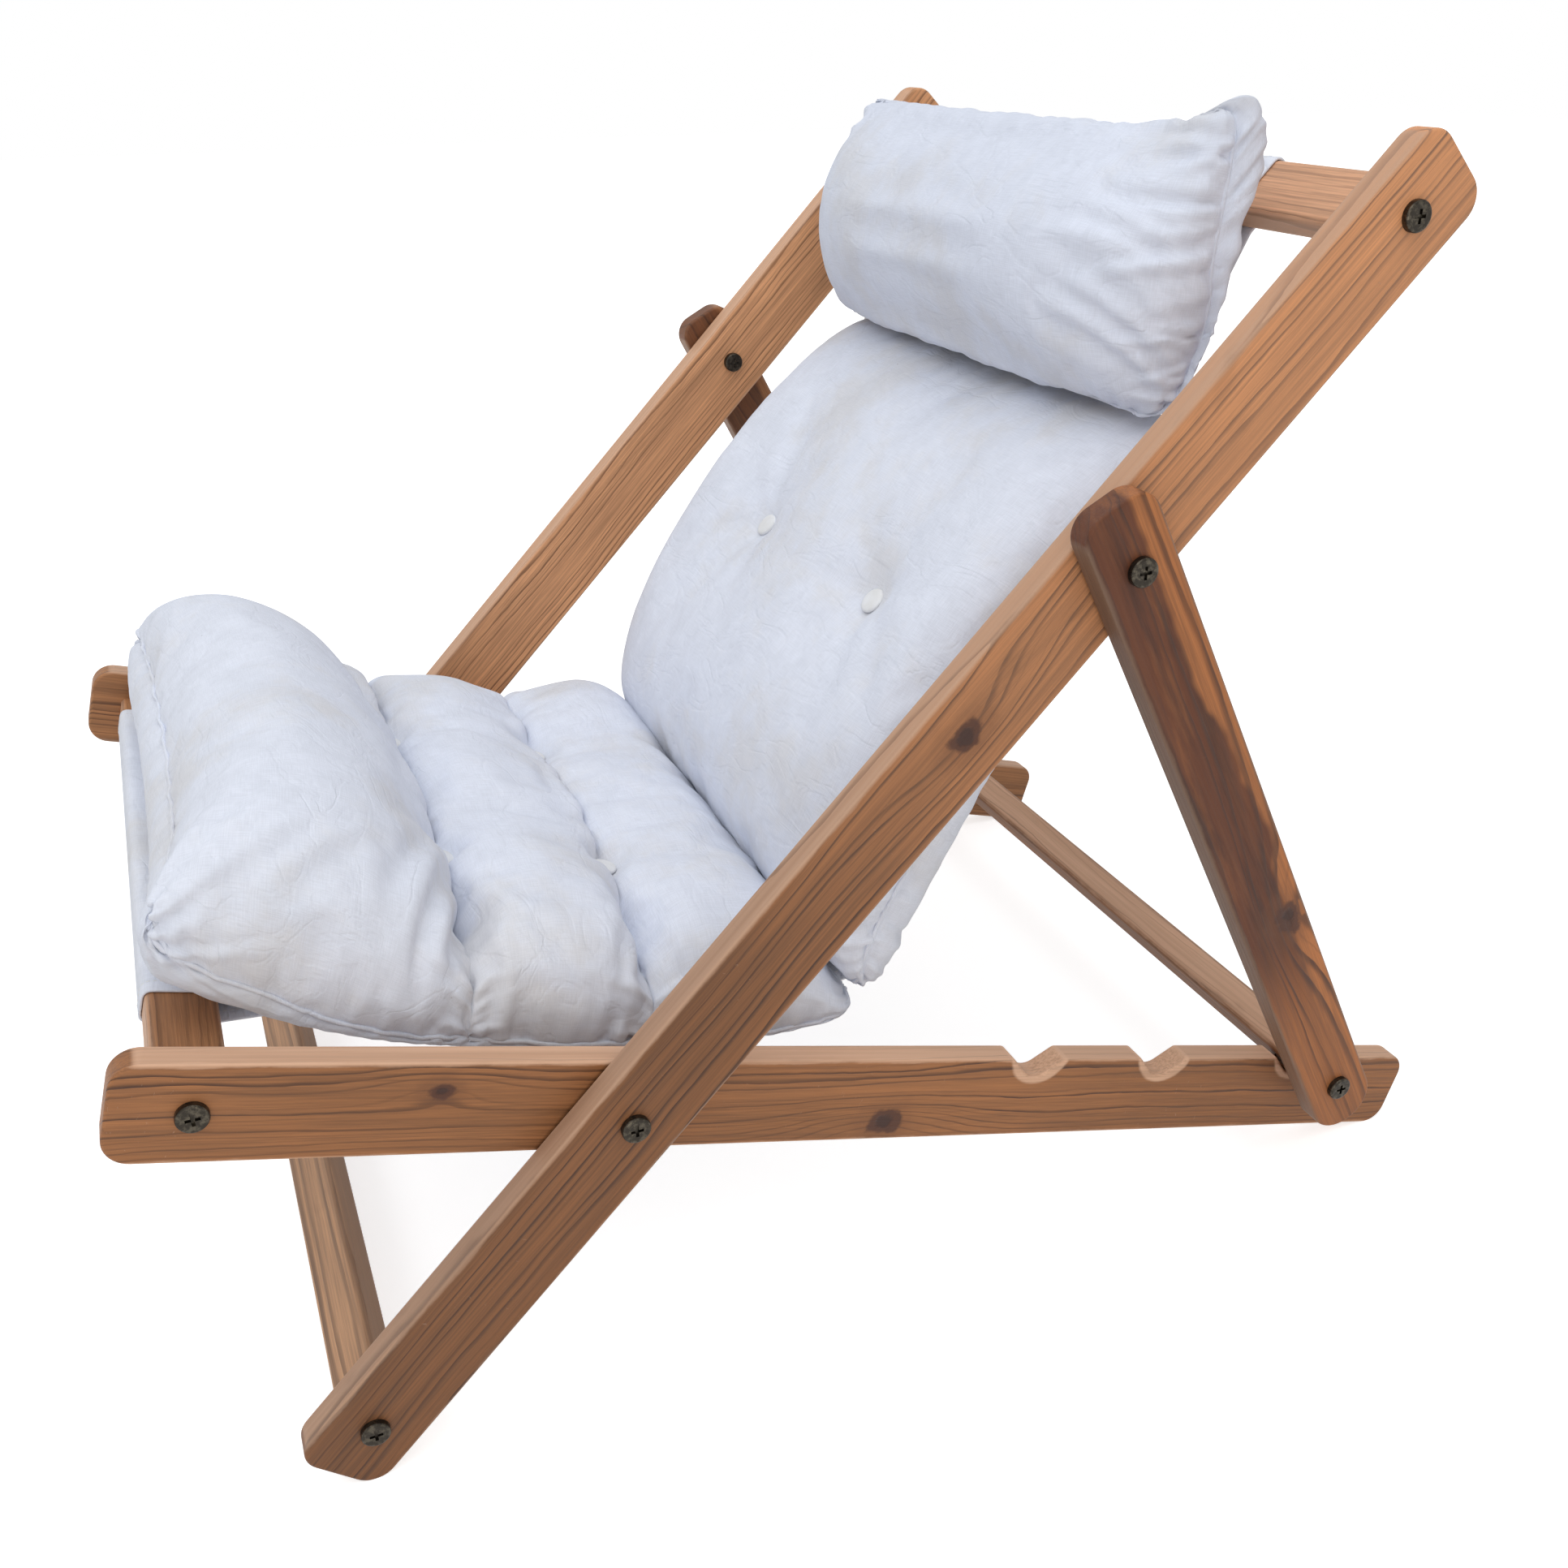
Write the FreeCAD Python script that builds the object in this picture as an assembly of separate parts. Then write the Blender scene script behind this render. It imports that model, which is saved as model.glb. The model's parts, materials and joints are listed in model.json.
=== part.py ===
import FreeCAD, Part
import math
import os

# Folding lounge chair: a seat frame and a back frame cross at a pair of pivot bolts, and a prop frame
# hung on the back posts drops its bar into one of three notches along the seat rails.
# Millimetres. +Z is up, the sitter faces -Y, +X is the sitter's left.
# The origin is on the floor, in the middle of the chair's footprint box.

# Boards
board_thick = 21.0
edge_ease = 2.5
end_round = 18.0
foot_flat = 1.5
frame_width = 698.0

# Back posts, measured along the post from the seat pivot
post_width = 70.0
post_to_prop = 484.0
post_to_top_rail = 760.0
post_to_bottom_rail = 276.0
post_past_top_rail = 46.0
post_past_bottom_rail = 42.0

# Seat rails, measured along the rail from the seat pivot
rail_width = 70.0
rail_to_front_rail = 273.0
rail_to_rear_notch = 608.0
rail_past_front_rail = 48.0
rail_past_rear_notch = 134.0
notch_step_rear = 148.0
notch_step_front = 125.0
notch_flank = 40.0
notch_round = 14.0
notch_lip = 4.0

# Props and their bar
prop_width = 56.0
prop_reach = 544.0
prop_head = 49.0
prop_tail = 46.0
bar_side = 30.0
bar_round = 6.0
bar_rise = 3.0

# Cross rails
cross_width = 45.0
cross_thick = 21.0
cross_round = 5.0

# Bolts, nuts and washers
bolt_radius = 4.0
head_radius = 10.0
head_high = 5.0
head_round = 1.8
recess_long = 9.0
recess_wide = 2.2
recess_deep = 2.2
nut_radius = 9.0
nut_high = 6.0
nut_round = 1.5
nut_recess_deep = 1.2
nut_grip = 3.0
washer_radius = 11.0
pivot_gap = 2.0
barrel_radius = 7.0
barrel_inset = 32.0
barrel_sink = 1.0
barrel_skin = 4.0
bolt_past_barrel = 6.0

# Clearances
side_play = 0.3
pin_clear = 0.05
bolt_clear = 0.1
soft_gap = 0.5

# Canvas sling: a strip with a sewn loop round the front rail and one round the top rail
sling_thick = 1.6
sling_right_gap = 32.0
sling_left_gap = 97.0
sag_place = 10.0
sag_depth = 24.0
sag_round = 500.0
fold_place = 236.0
fold_height = 36.0
fold_round = 46.0
bend_place = 430.0
bend_depth = 110.0
bend_round = 700.0
loop_tail_front = 64.0
loop_tail_top = 62.0

# Seat cushion: a high front roll and two lower puffs, parted by sewn channels
cushion_gap = 40.0
seat_nose = 24.0
roll_back = -150.0
roll_high = 158.0
roll_round = 58.0
nose_round = 34.0
puff_high = 102.0
puff_round = 34.0
channel_one = -93.0
channel_two = 36.0
channel_floor = 68.0
channel_wide = 36.0
channel_lean = 8.0
channel_round = 6.0
join_place = 150.0
join_height = 101.0
join_short = 30.0
join_round = 16.0

# Back cushion and head pillow, measured along the post and off its centre line
back_lumbar_place = 250.0
back_lumbar_depth = 24.0
back_lumbar_round = 150.0
back_crown_place = 430.0
back_crown_depth = 1.0
back_crown_round = 420.0
back_shoulder_place = 556.0
back_shoulder_depth = 23.0
back_shoulder_round = 60.0
back_below_top_rail = 154.0
back_end_depth = 46.0
back_end_round = 8.0
dimple_depth = 34.0
dimple_floor_radius = 14.0
dimple_flare = 1.3
pillow_gap = 74.0
pillow_below_top_rail = 8.0
pillow_length = 181.0
pillow_back_depth = 24.0
pillow_front = 108.0
pillow_round = 72.0
pillow_heel_round = 30.0

# Tufting buttons
button_radius = 11.0
button_thick = 4.5
button_round = 1.6
button_spread = 216.0
back_button_place = 375.0

X_AXIS = FreeCAD.Vector(1, 0, 0)
ORIGIN = FreeCAD.Vector(0, 0, 0)


# Side view of the frame, worked out from the pivot lengths. The seat pivot is the zero point here.
def turned(angle, along, across):
    """Side-view point from a distance along a slanted line and a distance to its upper side."""
    cos, sin = math.cos(angle), math.sin(angle)
    return (along * cos - across * sin, along * sin + across * cos)


def angle_to(start, end):
    return math.atan2(end[1] - start[1], end[0] - start[0])


post_foot = post_to_bottom_rail + post_past_bottom_rail
post_top = post_to_top_rail + post_past_top_rail
rail_front = rail_to_front_rail + rail_past_front_rail
rail_rear = rail_to_rear_notch + rail_past_rear_notch
notches = [rail_to_rear_notch, rail_to_rear_notch - notch_step_rear]
notches.append(notches[-1] - notch_step_front)

bar_height = rail_width / 2 + bar_rise
pivot_to_bar = math.hypot(rail_to_rear_notch, bar_height)
pivot_corner = math.acos(
    (post_to_prop**2 + pivot_to_bar**2 - prop_reach**2) / (2 * post_to_prop * pivot_to_bar)
)
frame_angle = pivot_corner + math.atan2(bar_height, rail_to_rear_notch)

post_heel = turned(frame_angle, end_round - post_foot, end_round - post_width / 2)
rail_heel = (rail_rear - end_round, end_round - rail_width / 2)
rail_angle = -angle_to(post_heel, rail_heel)
post_angle = frame_angle + rail_angle
floor_level = turned(rail_angle, *rail_heel)[1] - end_round + foot_flat


def on_rail(along, above):
    return turned(rail_angle, along, above)


def on_post(along, ahead):
    return turned(post_angle, along, ahead)


prop_pivot = on_post(post_to_prop, 0)
bar_centre = on_rail(rail_to_rear_notch, bar_height)
prop_angle = angle_to(prop_pivot, bar_centre)


def on_prop(along, across):
    point = turned(prop_angle, along, across)
    return (prop_pivot[0] + point[0], prop_pivot[1] + point[1])


# The bar sits in its notch on a rounded corner, so the notch is as deep as that corner reaches
bar_tilt = abs(prop_angle - rail_angle + math.pi / 2)
bar_reach = (bar_side / 2 - bar_round) * (math.cos(bar_tilt) + math.sin(bar_tilt)) + bar_round
notch_deep = bar_reach + side_play - bar_rise

# Layers across the chair, from the outside in
post_out = frame_width / 2
post_in = post_out - board_thick
rail_out = post_in - pivot_gap
rail_in = rail_out - board_thick
prop_in = post_out + pivot_gap
prop_out = prop_in + board_thick


# Shape helpers
def vector(point, x=0.0):
    return FreeCAD.Vector(x, point[0], point[1])


def corner_arc(before, corner, after, run):
    """Start, middle and end of the round on a corner, from how far it runs along both sides."""
    back, ahead = before - corner, after - corner
    half = back.getAngle(ahead) / 2
    radius = run * math.tan(half)
    back.normalize()
    ahead.normalize()
    middle = back + ahead
    middle.normalize()
    return corner + back * run, corner + middle * (radius / math.sin(half) - radius), corner + ahead * run


def rounded(points, rounds):
    """Closed side-view wire through the corners, each turned by its own round as far as its sides allow."""
    corners = [vector(p) for p in points]
    count = len(corners)
    sides = [corners[(i + 1) % count] - corners[i] for i in range(count)]
    runs = [rounds[i] * math.tan(sides[i - 1].getAngle(sides[i]) / 2) for i in range(count)]
    arcs = []
    for i, run in enumerate(runs):
        after = (i + 1) % count
        room_back = sides[i - 1].Length / max(runs[i - 1] + run, sides[i - 1].Length)
        room_ahead = sides[i].Length / max(runs[after] + run, sides[i].Length)
        run *= min(room_back, room_ahead)
        arcs.append(corner_arc(corners[i - 1], corners[i], corners[after], run))
    edges = []
    for i, arc in enumerate(arcs):
        if (arcs[i - 1][2] - arc[0]).Length > 1e-6:
            edges.append(Part.LineSegment(arcs[i - 1][2], arc[0]).toShape())
        if rounds[i] > 0:
            edges.append(Part.Arc(*arc).toShape())
    return Part.Wire(edges)


def slab(points, rounds, x_from, x_to):
    """Solid with a side-view outline, running across the chair from one place to another."""
    face = Part.Face(rounded(points, rounds))
    face.translate(FreeCAD.Vector(x_from, 0, 0))
    return face.extrude(FreeCAD.Vector(x_to - x_from, 0, 0))


def eased(solid):
    """Round the outline edges on both broad faces."""
    edges = [e for e in solid.Edges if e.BoundBox.XLength < 1e-4]
    return solid.makeFillet(edge_ease, edges)


def hole(point, radius, x_from, x_to):
    return Part.makeCylinder(radius, x_to - x_from, vector(point, x_from), X_AXIS)


def mirrored(shape):
    return shape.mirror(ORIGIN, X_AXIS)


def pair(shape):
    return Part.makeCompound([shape, mirrored(shape)])


def offset_line(points, distance):
    """The open line of points moved sideways, to its left where the distance is positive."""
    moved = []
    for i, point in enumerate(points):
        near = points[max(i - 1, 0) : i + 2]
        normals = []
        for start, end in zip(near, near[1:]):
            angle = angle_to(start, end) + math.pi / 2
            normals.append((math.cos(angle), math.sin(angle)))
        total = (sum(n[0] for n in normals), sum(n[1] for n in normals))
        scale = distance * len(normals) / (total[0] ** 2 + total[1] ** 2)
        moved.append((point[0] + total[0] * scale, point[1] + total[1] * scale))
    return moved


def turns_left(points, i):
    turn = angle_to(points[i], points[i + 1]) - angle_to(points[i - 1], points[i])
    return math.sin(turn) > 0


def strip(points, rounds, thick, x_from, x_to):
    """Bent sheet of even thickness along an open line."""
    left = offset_line(points, thick / 2)
    right = offset_line(points, -thick / 2)
    left_rounds = [0.0]
    right_rounds = [0.0]
    for i in range(1, len(points) - 1):
        inner = thick / 2 if turns_left(points, i) else -thick / 2
        left_rounds.append(rounds[i] - inner)
        right_rounds.append(rounds[i] + inner)
    left_rounds.append(0.0)
    right_rounds.append(0.0)
    return slab(left + right[::-1], left_rounds + right_rounds[::-1], x_from, x_to)


# Boards
def under_floor():
    reach = 4 * (post_top + rail_rear)
    box = Part.makeBox(reach, reach, reach)
    box.translate(FreeCAD.Vector(-reach / 2, -reach / 2, floor_level - reach))
    return box


def back_post():
    """Left back post: bored for the bottom rail, the seat pivot, the prop pivot and the top rail."""
    half = post_width / 2
    corners = [
        on_post(-post_foot, -half),
        on_post(post_top, -half),
        on_post(post_top, half),
        on_post(-post_foot, half),
    ]
    solid = eased(slab(corners, [end_round] * 4, post_in, post_out))
    bores = {
        -post_to_bottom_rail: bolt_clear,
        0.0: pin_clear,
        post_to_prop: bolt_clear,
        post_to_top_rail: bolt_clear,
    }
    for along, clear in bores.items():
        solid = solid.cut(hole(on_post(along, 0), bolt_radius + clear, post_in, post_out))
    return solid.cut(under_floor())


def notch_corners(along):
    """Corners and rounds of one rest notch, from its front lip to its rear lip."""
    flank = math.radians(notch_flank)
    apex = notch_deep + notch_round * (1 / math.cos(flank) - 1)
    half = apex / math.tan(flank)
    top = rail_width / 2
    corners = [on_rail(along - half, top), on_rail(along, top - apex), on_rail(along + half, top)]
    return corners, [notch_lip, notch_round, notch_lip]


def seat_rail():
    """Left seat rail: three rest notches in its upper edge, bored for the front rail and the pivot."""
    half = rail_width / 2
    corners = [on_rail(rail_rear, -half), on_rail(rail_rear, half)]
    rounds = [end_round, end_round]
    for along in notches:
        points, turns = notch_corners(along)
        corners += points[::-1]
        rounds += turns
    corners += [on_rail(-rail_front, half), on_rail(-rail_front, -half)]
    rounds += [end_round, end_round]
    solid = eased(slab(corners, rounds, rail_in, rail_out))
    for along in (-rail_to_front_rail, 0.0):
        solid = solid.cut(hole(on_rail(along, 0), bolt_radius + bolt_clear, rail_in, rail_out))
    return solid.cut(under_floor())


def prop():
    """Left prop: turns on the prop pivot and carries one end of the bar."""
    half = prop_width / 2
    corners = [
        on_prop(-prop_head, -half),
        on_prop(prop_reach + prop_tail, -half),
        on_prop(prop_reach + prop_tail, half),
        on_prop(-prop_head, half),
    ]
    solid = eased(slab(corners, [end_round, half, half, end_round], prop_in, prop_out))
    solid = solid.cut(hole(prop_pivot, bolt_radius + pin_clear, prop_in, prop_out))
    return solid.cut(hole(bar_centre, bolt_radius + bolt_clear, prop_in, prop_out))


# Cross pieces, each held at both ends by a bolt that screws into a barrel nut
barrel_long = cross_thick - barrel_sink - barrel_skin
bolt_into_cross = barrel_inset + barrel_radius + bolt_past_barrel


def cross_piece(place, centre, long_side, short_side, round_off, reach):
    """Bar between two boards, bored at each end for a bolt and its barrel nut."""
    wide, deep = long_side / 2, short_side / 2
    corners = [
        place(centre[0] - wide, centre[1] - deep),
        place(centre[0] + wide, centre[1] - deep),
        place(centre[0] + wide, centre[1] + deep),
        place(centre[0] - wide, centre[1] + deep),
    ]
    solid = slab(corners, [round_off] * 4, -reach, reach)
    axis = place(*centre)
    bore = hole(axis, bolt_radius + bolt_clear, reach - bolt_into_cross - bolt_clear, reach)
    seat = barrel(place, centre, short_side, reach, barrel_radius + bolt_clear, barrel_sink)
    for cut in (bore, seat):
        solid = solid.cut(cut)
        solid = solid.cut(mirrored(cut))
    return solid


def barrel(place, centre, short_side, reach, radius, extra):
    """Cylinder for a barrel nut, or for its seat when it runs on to the lower face."""
    low = place(centre[0], centre[1] - short_side / 2 + barrel_sink - extra)
    high = place(centre[0], centre[1] - short_side / 2 + barrel_sink + barrel_long)
    x = reach - barrel_inset
    start, end = vector(low, x), vector(high, x)
    return Part.makeCylinder(radius, (end - start).Length, start, end - start)


def barrel_nuts(place, centre, short_side, reach):
    solid = barrel(place, centre, short_side, reach, barrel_radius, 0.0)
    axis = place(*centre)
    return pair(solid.cut(hole(axis, bolt_radius + bolt_clear, 0, reach)))


# Fasteners
def cross_recess(point, x_face, direction, deep):
    """Cross-shaped driver recess sunk into a head."""
    bars = []
    for long_y, long_z in ((recess_long, recess_wide), (recess_wide, recess_long)):
        bar = Part.makeBox(deep, long_y, long_z)
        bar.translate(FreeCAD.Vector(min(x_face, x_face - direction * deep), -long_y / 2, -long_z / 2))
        bar.translate(vector(point))
        bars.append(bar)
    return bars[0].fuse(bars[1])


def disc(point, x_seat, direction, radius, high, round_off):
    """Round head whose outer rim is rounded."""
    solid = Part.makeCylinder(radius, high, vector(point, x_seat), X_AXIS * direction)
    x_face = x_seat + direction * high
    rim = [e for e in solid.Edges if abs(e.BoundBox.XMin - x_face) + abs(e.BoundBox.XMax - x_face) < 1e-4]
    return solid.makeFillet(round_off, rim)


def bolts(point, x_seat, x_end):
    """Pair of pan-head bolts, heads outside, shanks running in towards the middle of the chair."""
    head = disc(point, x_seat, 1, head_radius, head_high, head_round)
    head = head.cut(cross_recess(point, x_seat + head_high, 1, recess_deep))
    return pair(head.fuse(hole(point, bolt_radius, x_end, x_seat)))


def cap_nuts(point, x_seat):
    """Pair of round cap nuts on the inner face of a board."""
    nut = disc(point, x_seat, -1, nut_radius, nut_high, nut_round)
    nut = nut.cut(cross_recess(point, x_seat - nut_high, -1, nut_recess_deep))
    return pair(nut.cut(hole(point, bolt_radius + bolt_clear, x_seat - nut_grip, x_seat)))


def washers(point, x_from, x_to):
    ring = hole(point, washer_radius, x_from, x_to)
    return pair(ring.cut(hole(point, bolt_radius + bolt_clear, x_from, x_to)))


# Soft parts
def loop_offsets():
    """Half sizes of a sling loop round a cross rail, on the sling's middle line."""
    off = soft_gap + sling_thick / 2
    return cross_width / 2 + off, cross_thick / 2 + off


loop_wide, loop_deep = loop_offsets()
loop_round = cross_round + soft_gap + sling_thick / 2
front_loop = on_rail(-rail_to_front_rail + loop_wide, loop_deep)
sag = on_rail(sag_place, -sag_depth)
fold = on_rail(fold_place, fold_height)
bend = on_post(bend_place, -bend_depth)
top_loop = on_post(post_to_top_rail - loop_wide, -loop_deep)
sling_line = [front_loop, sag, fold, bend, top_loop]


def beside(start, end, distance, side):
    """Point on the line from start to end, moved to one side of it."""
    angle = angle_to(start, end)
    point = turned(angle, distance, side)
    return (start[0] + point[0], start[1] + point[1])


def canvas_sling():
    """One strip of canvas from the front rail, down under the cushions and up to the top rail."""
    clear = sling_thick + soft_gap
    front, top = -rail_to_front_rail, post_to_top_rail
    points = [
        beside(front_loop, sag, loop_tail_front, -clear),
        on_rail(front + loop_wide, -loop_deep),
        on_rail(front - loop_wide, -loop_deep),
        on_rail(front - loop_wide, loop_deep),
        front_loop,
        sag,
        fold,
        bend,
        top_loop,
        on_post(top + loop_wide, -loop_deep),
        on_post(top + loop_wide, loop_deep),
        on_post(top - loop_wide, loop_deep),
        beside(top_loop, bend, loop_tail_top, -clear),
    ]
    rounds = [0.0] + [loop_round] * 4 + [sag_round, fold_round, bend_round] + [loop_round] * 4 + [0.0]
    return strip(points, rounds, sling_thick, sling_right_gap - rail_in, rail_in - sling_left_gap)


# The cushions lie on the inner side of the sling and part along a line from the lap to the fold
pad_off = sling_thick / 2 + soft_gap
pad_front, pad_sag, pad_fold, pad_bend, pad_top = offset_line(sling_line, pad_off)
cushion_half = rail_in - cushion_gap
join_top = on_rail(join_place, join_height)
join_foot = beside(pad_fold, pad_sag, join_short, 0.0)


def seat_cushion():
    """Seat cushion on the sling: front roll, two channels and two puffs."""
    nose = -rail_to_front_rail - seat_nose
    half = channel_wide / 2
    flank = half + channel_lean
    corners = [
        on_rail(nose, loop_deep + pad_off),
        pad_front,
        pad_sag,
        join_foot,
        join_top,
        on_rail(channel_two + flank, puff_high),
        on_rail(channel_two + half, channel_floor),
        on_rail(channel_two - half, channel_floor),
        on_rail(channel_two - flank, puff_high),
        on_rail(channel_one + flank, puff_high),
        on_rail(channel_one + half, channel_floor),
        on_rail(channel_one - half, channel_floor),
        on_rail(roll_back, roll_high),
        on_rail(nose, roll_high),
    ]
    channel = [channel_round, channel_round]
    rounds = [nose_round, 0.0, sag_round - pad_off, 0.0, join_round, puff_round]
    rounds += channel + [puff_round, puff_round] + channel + [roll_round, roll_round]
    return slab(corners, rounds, -cushion_half, cushion_half)


def back_cushion():
    """Back cushion against the sling, from the seat's rear end to under the head pillow."""
    lap, heel = offset_line([join_top, join_foot], 2 * soft_gap)
    back_end = post_to_top_rail - back_below_top_rail
    corners = [
        lap,
        heel,
        pad_fold,
        pad_bend,
        beside(pad_bend, pad_top, back_end - bend_place, 0.0),
        on_post(back_end, -back_end_depth),
        on_post(back_shoulder_place, -back_shoulder_depth),
        on_post(back_crown_place, -back_crown_depth),
        on_post(back_lumbar_place, -back_lumbar_depth),
    ]
    rounds = [join_round, 0.0, fold_round - pad_off, bend_round - pad_off, back_end_round, back_end_round]
    rounds += [back_shoulder_round, back_crown_round, back_lumbar_round]
    one = dimple()
    return slab(corners, rounds, -cushion_half, cushion_half).cut(one).cut(mirrored(one))


def dimple():
    """Hollow that a button draws into the front of the back cushion, wider towards the front."""
    x = button_spread / 2
    floor = vector(on_post(back_button_place, -dimple_depth), x)
    mouth = vector(on_post(back_button_place, dimple_depth), x)
    deep = 2 * dimple_depth
    mouth_radius = dimple_floor_radius + dimple_flare * deep
    return Part.makeCone(dimple_floor_radius, mouth_radius, deep, floor, mouth - floor)


def head_pillow():
    """Head pillow lying against the sling's top loop."""
    seat = loop_deep + pad_off
    pillow_top = post_to_top_rail - pillow_below_top_rail
    pillow_low = pillow_top - pillow_length
    half = post_in - pillow_gap
    corners = [
        on_post(pillow_low, -pillow_back_depth),
        on_post(post_to_top_rail - loop_wide, seat),
        on_post(pillow_top, seat),
        on_post(pillow_top, pillow_front),
        on_post(pillow_low, pillow_front),
    ]
    rounds = [pillow_heel_round, pillow_heel_round, pillow_heel_round, pillow_round, pillow_round]
    return slab(corners, rounds, -half, half)


def button(place, along, above):
    """Flat covered button lying on a cushion."""
    base = place(along, above + side_play)
    tip = place(along, above + side_play + button_thick)
    x = button_spread / 2
    start, end = vector(base, x), vector(tip, x)
    solid = Part.makeCylinder(button_radius, button_thick, start, end - start)
    rim = [e for e in solid.Edges if e.Closed and (e.CenterOfMass - end).Length < button_thick / 4]
    return solid.makeFillet(button_round, rim)


def seat_buttons():
    solids = []
    for place in (channel_one, channel_two):
        one = button(on_rail, place, channel_floor)
        solids += [one, mirrored(one)]
    return Part.makeCompound(solids)


front_rail_place = (-rail_to_front_rail, 0.0)
top_rail_place = (post_to_top_rail, 0.0)
bottom_rail_place = (-post_to_bottom_rail, 0.0)
bar_place = (prop_reach, 0.0)
seat_pivot = (0.0, 0.0)

left_rail = seat_rail()
left_post = back_post()
left_prop = prop()

nodes = {
    "left_seat_rail": left_rail,
    "right_seat_rail": mirrored(left_rail),
    "front_rail": cross_piece(on_rail, front_rail_place, cross_width, cross_thick, cross_round, rail_in),
    "front_rail_bolts": bolts(on_rail(*front_rail_place), rail_out, rail_in - bolt_into_cross),
    "front_rail_barrel_nuts": barrel_nuts(on_rail, front_rail_place, cross_thick, rail_in),
    "seat_pivot_bolts": bolts(seat_pivot, post_out + side_play, rail_in - nut_grip + bolt_clear),
    "seat_pivot_washers": washers(seat_pivot, rail_out, post_in - side_play),
    "seat_pivot_nuts": cap_nuts(seat_pivot, rail_in),
    "left_back_post": left_post,
    "right_back_post": mirrored(left_post),
    "top_rail": cross_piece(on_post, top_rail_place, cross_width, cross_thick, cross_round, post_in),
    "top_rail_bolts": bolts(on_post(*top_rail_place), post_out, post_in - bolt_into_cross),
    "top_rail_barrel_nuts": barrel_nuts(on_post, top_rail_place, cross_thick, post_in),
    "bottom_rail": cross_piece(on_post, bottom_rail_place, cross_width, cross_thick, cross_round, post_in),
    "bottom_rail_bolts": bolts(on_post(*bottom_rail_place), post_out, post_in - bolt_into_cross),
    "bottom_rail_barrel_nuts": barrel_nuts(on_post, bottom_rail_place, cross_thick, post_in),
    "prop_pivot_bolts": bolts(prop_pivot, prop_out + side_play, post_in - nut_grip + bolt_clear),
    "prop_pivot_washers": washers(prop_pivot, post_out, prop_in - side_play),
    "prop_pivot_nuts": cap_nuts(prop_pivot, post_in),
    "left_prop": left_prop,
    "right_prop": mirrored(left_prop),
    "prop_bar": cross_piece(on_prop, bar_place, bar_side, bar_side, bar_round, prop_in),
    "prop_bar_bolts": bolts(bar_centre, prop_out, prop_in - bolt_into_cross),
    "prop_bar_barrel_nuts": barrel_nuts(on_prop, bar_place, bar_side, prop_in),
    "canvas_sling": canvas_sling(),
    "seat_cushion": seat_cushion(),
    "back_cushion": back_cushion(),
    "head_pillow": head_pillow(),
    "seat_buttons": seat_buttons(),
    "back_buttons": pair(button(on_post, back_button_place, -dimple_depth)),
}

footprint = left_rail.optimalBoundingBox(False, False)
to_origin = FreeCAD.Vector(0, -(footprint.YMin + footprint.YMax) / 2, -floor_level)

os.makedirs("parts", exist_ok=True)
for name, shape in nodes.items():
    shape.translate(to_origin)
    shape.exportStep("parts/" + name + ".step")
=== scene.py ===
import json
import math

import bpy
import numpy as np
from mathutils import Matrix, Vector


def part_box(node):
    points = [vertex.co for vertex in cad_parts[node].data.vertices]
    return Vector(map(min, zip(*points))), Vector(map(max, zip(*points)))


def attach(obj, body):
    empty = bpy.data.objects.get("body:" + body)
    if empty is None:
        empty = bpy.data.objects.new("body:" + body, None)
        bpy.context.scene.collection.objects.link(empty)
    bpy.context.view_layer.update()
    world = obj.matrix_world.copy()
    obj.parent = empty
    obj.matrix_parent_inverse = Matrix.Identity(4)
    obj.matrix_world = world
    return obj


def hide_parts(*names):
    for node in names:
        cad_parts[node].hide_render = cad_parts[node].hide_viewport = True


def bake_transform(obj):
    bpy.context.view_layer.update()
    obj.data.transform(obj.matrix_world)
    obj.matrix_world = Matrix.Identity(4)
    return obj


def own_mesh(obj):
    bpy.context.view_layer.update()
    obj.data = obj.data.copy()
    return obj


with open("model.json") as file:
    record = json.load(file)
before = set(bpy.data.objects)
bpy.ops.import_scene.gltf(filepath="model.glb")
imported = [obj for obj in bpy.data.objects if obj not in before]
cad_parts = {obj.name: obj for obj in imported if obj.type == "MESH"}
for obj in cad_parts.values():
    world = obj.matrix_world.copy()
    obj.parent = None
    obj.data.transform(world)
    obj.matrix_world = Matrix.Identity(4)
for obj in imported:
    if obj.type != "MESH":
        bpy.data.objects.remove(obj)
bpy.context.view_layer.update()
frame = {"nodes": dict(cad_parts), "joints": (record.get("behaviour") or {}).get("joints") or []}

bl_info = {
    "name": "Folding lounge chair",
    "version": (1, 0, 0),
    "blender": (4, 5, 0),
    "location": "View3D > Sidebar > Lounge chair",
    "description": "Dresses the frame of a folding lounge chair in pine, bronze bolts, canvas and cushions",
    "category": "Object",
}

MM = 0.001
NODES = frame["nodes"]
JOINTS = {joint["name"]: joint for joint in frame["joints"]}


# Lines of the frame, read from the pivots and bolts
def middle(node):
    low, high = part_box(node)
    return (low + high) / 2


class Line:
    """A slanted line in the side view: a start, the way along it and the way off its upper side."""

    def __init__(self, start, end):
        self.start = start
        self.along = (end - start).normalized()
        self.above = Vector((0, -self.along.z, self.along.y))

    def at(self, along, above, x=0.0):
        """Point from millimetres along the line, above it and across the chair."""
        return self.start + (self.along * along + self.above * above + Vector((x, 0, 0))) * MM


ACROSS = Vector((1, 0, 0))
SEAT_PIVOT = Vector(JOINTS["back_hinge"]["pos_m"])
PROP_PIVOT = Vector(JOINTS["prop_hinge"]["pos_m"])
RAIL = Line(SEAT_PIVOT, SEAT_PIVOT * 2 - middle("front_rail_bolts"))
POST = Line(SEAT_PIVOT, middle("top_rail_bolts"))
PROP = Line(PROP_PIVOT, middle("prop_bar_bolts"))

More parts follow.
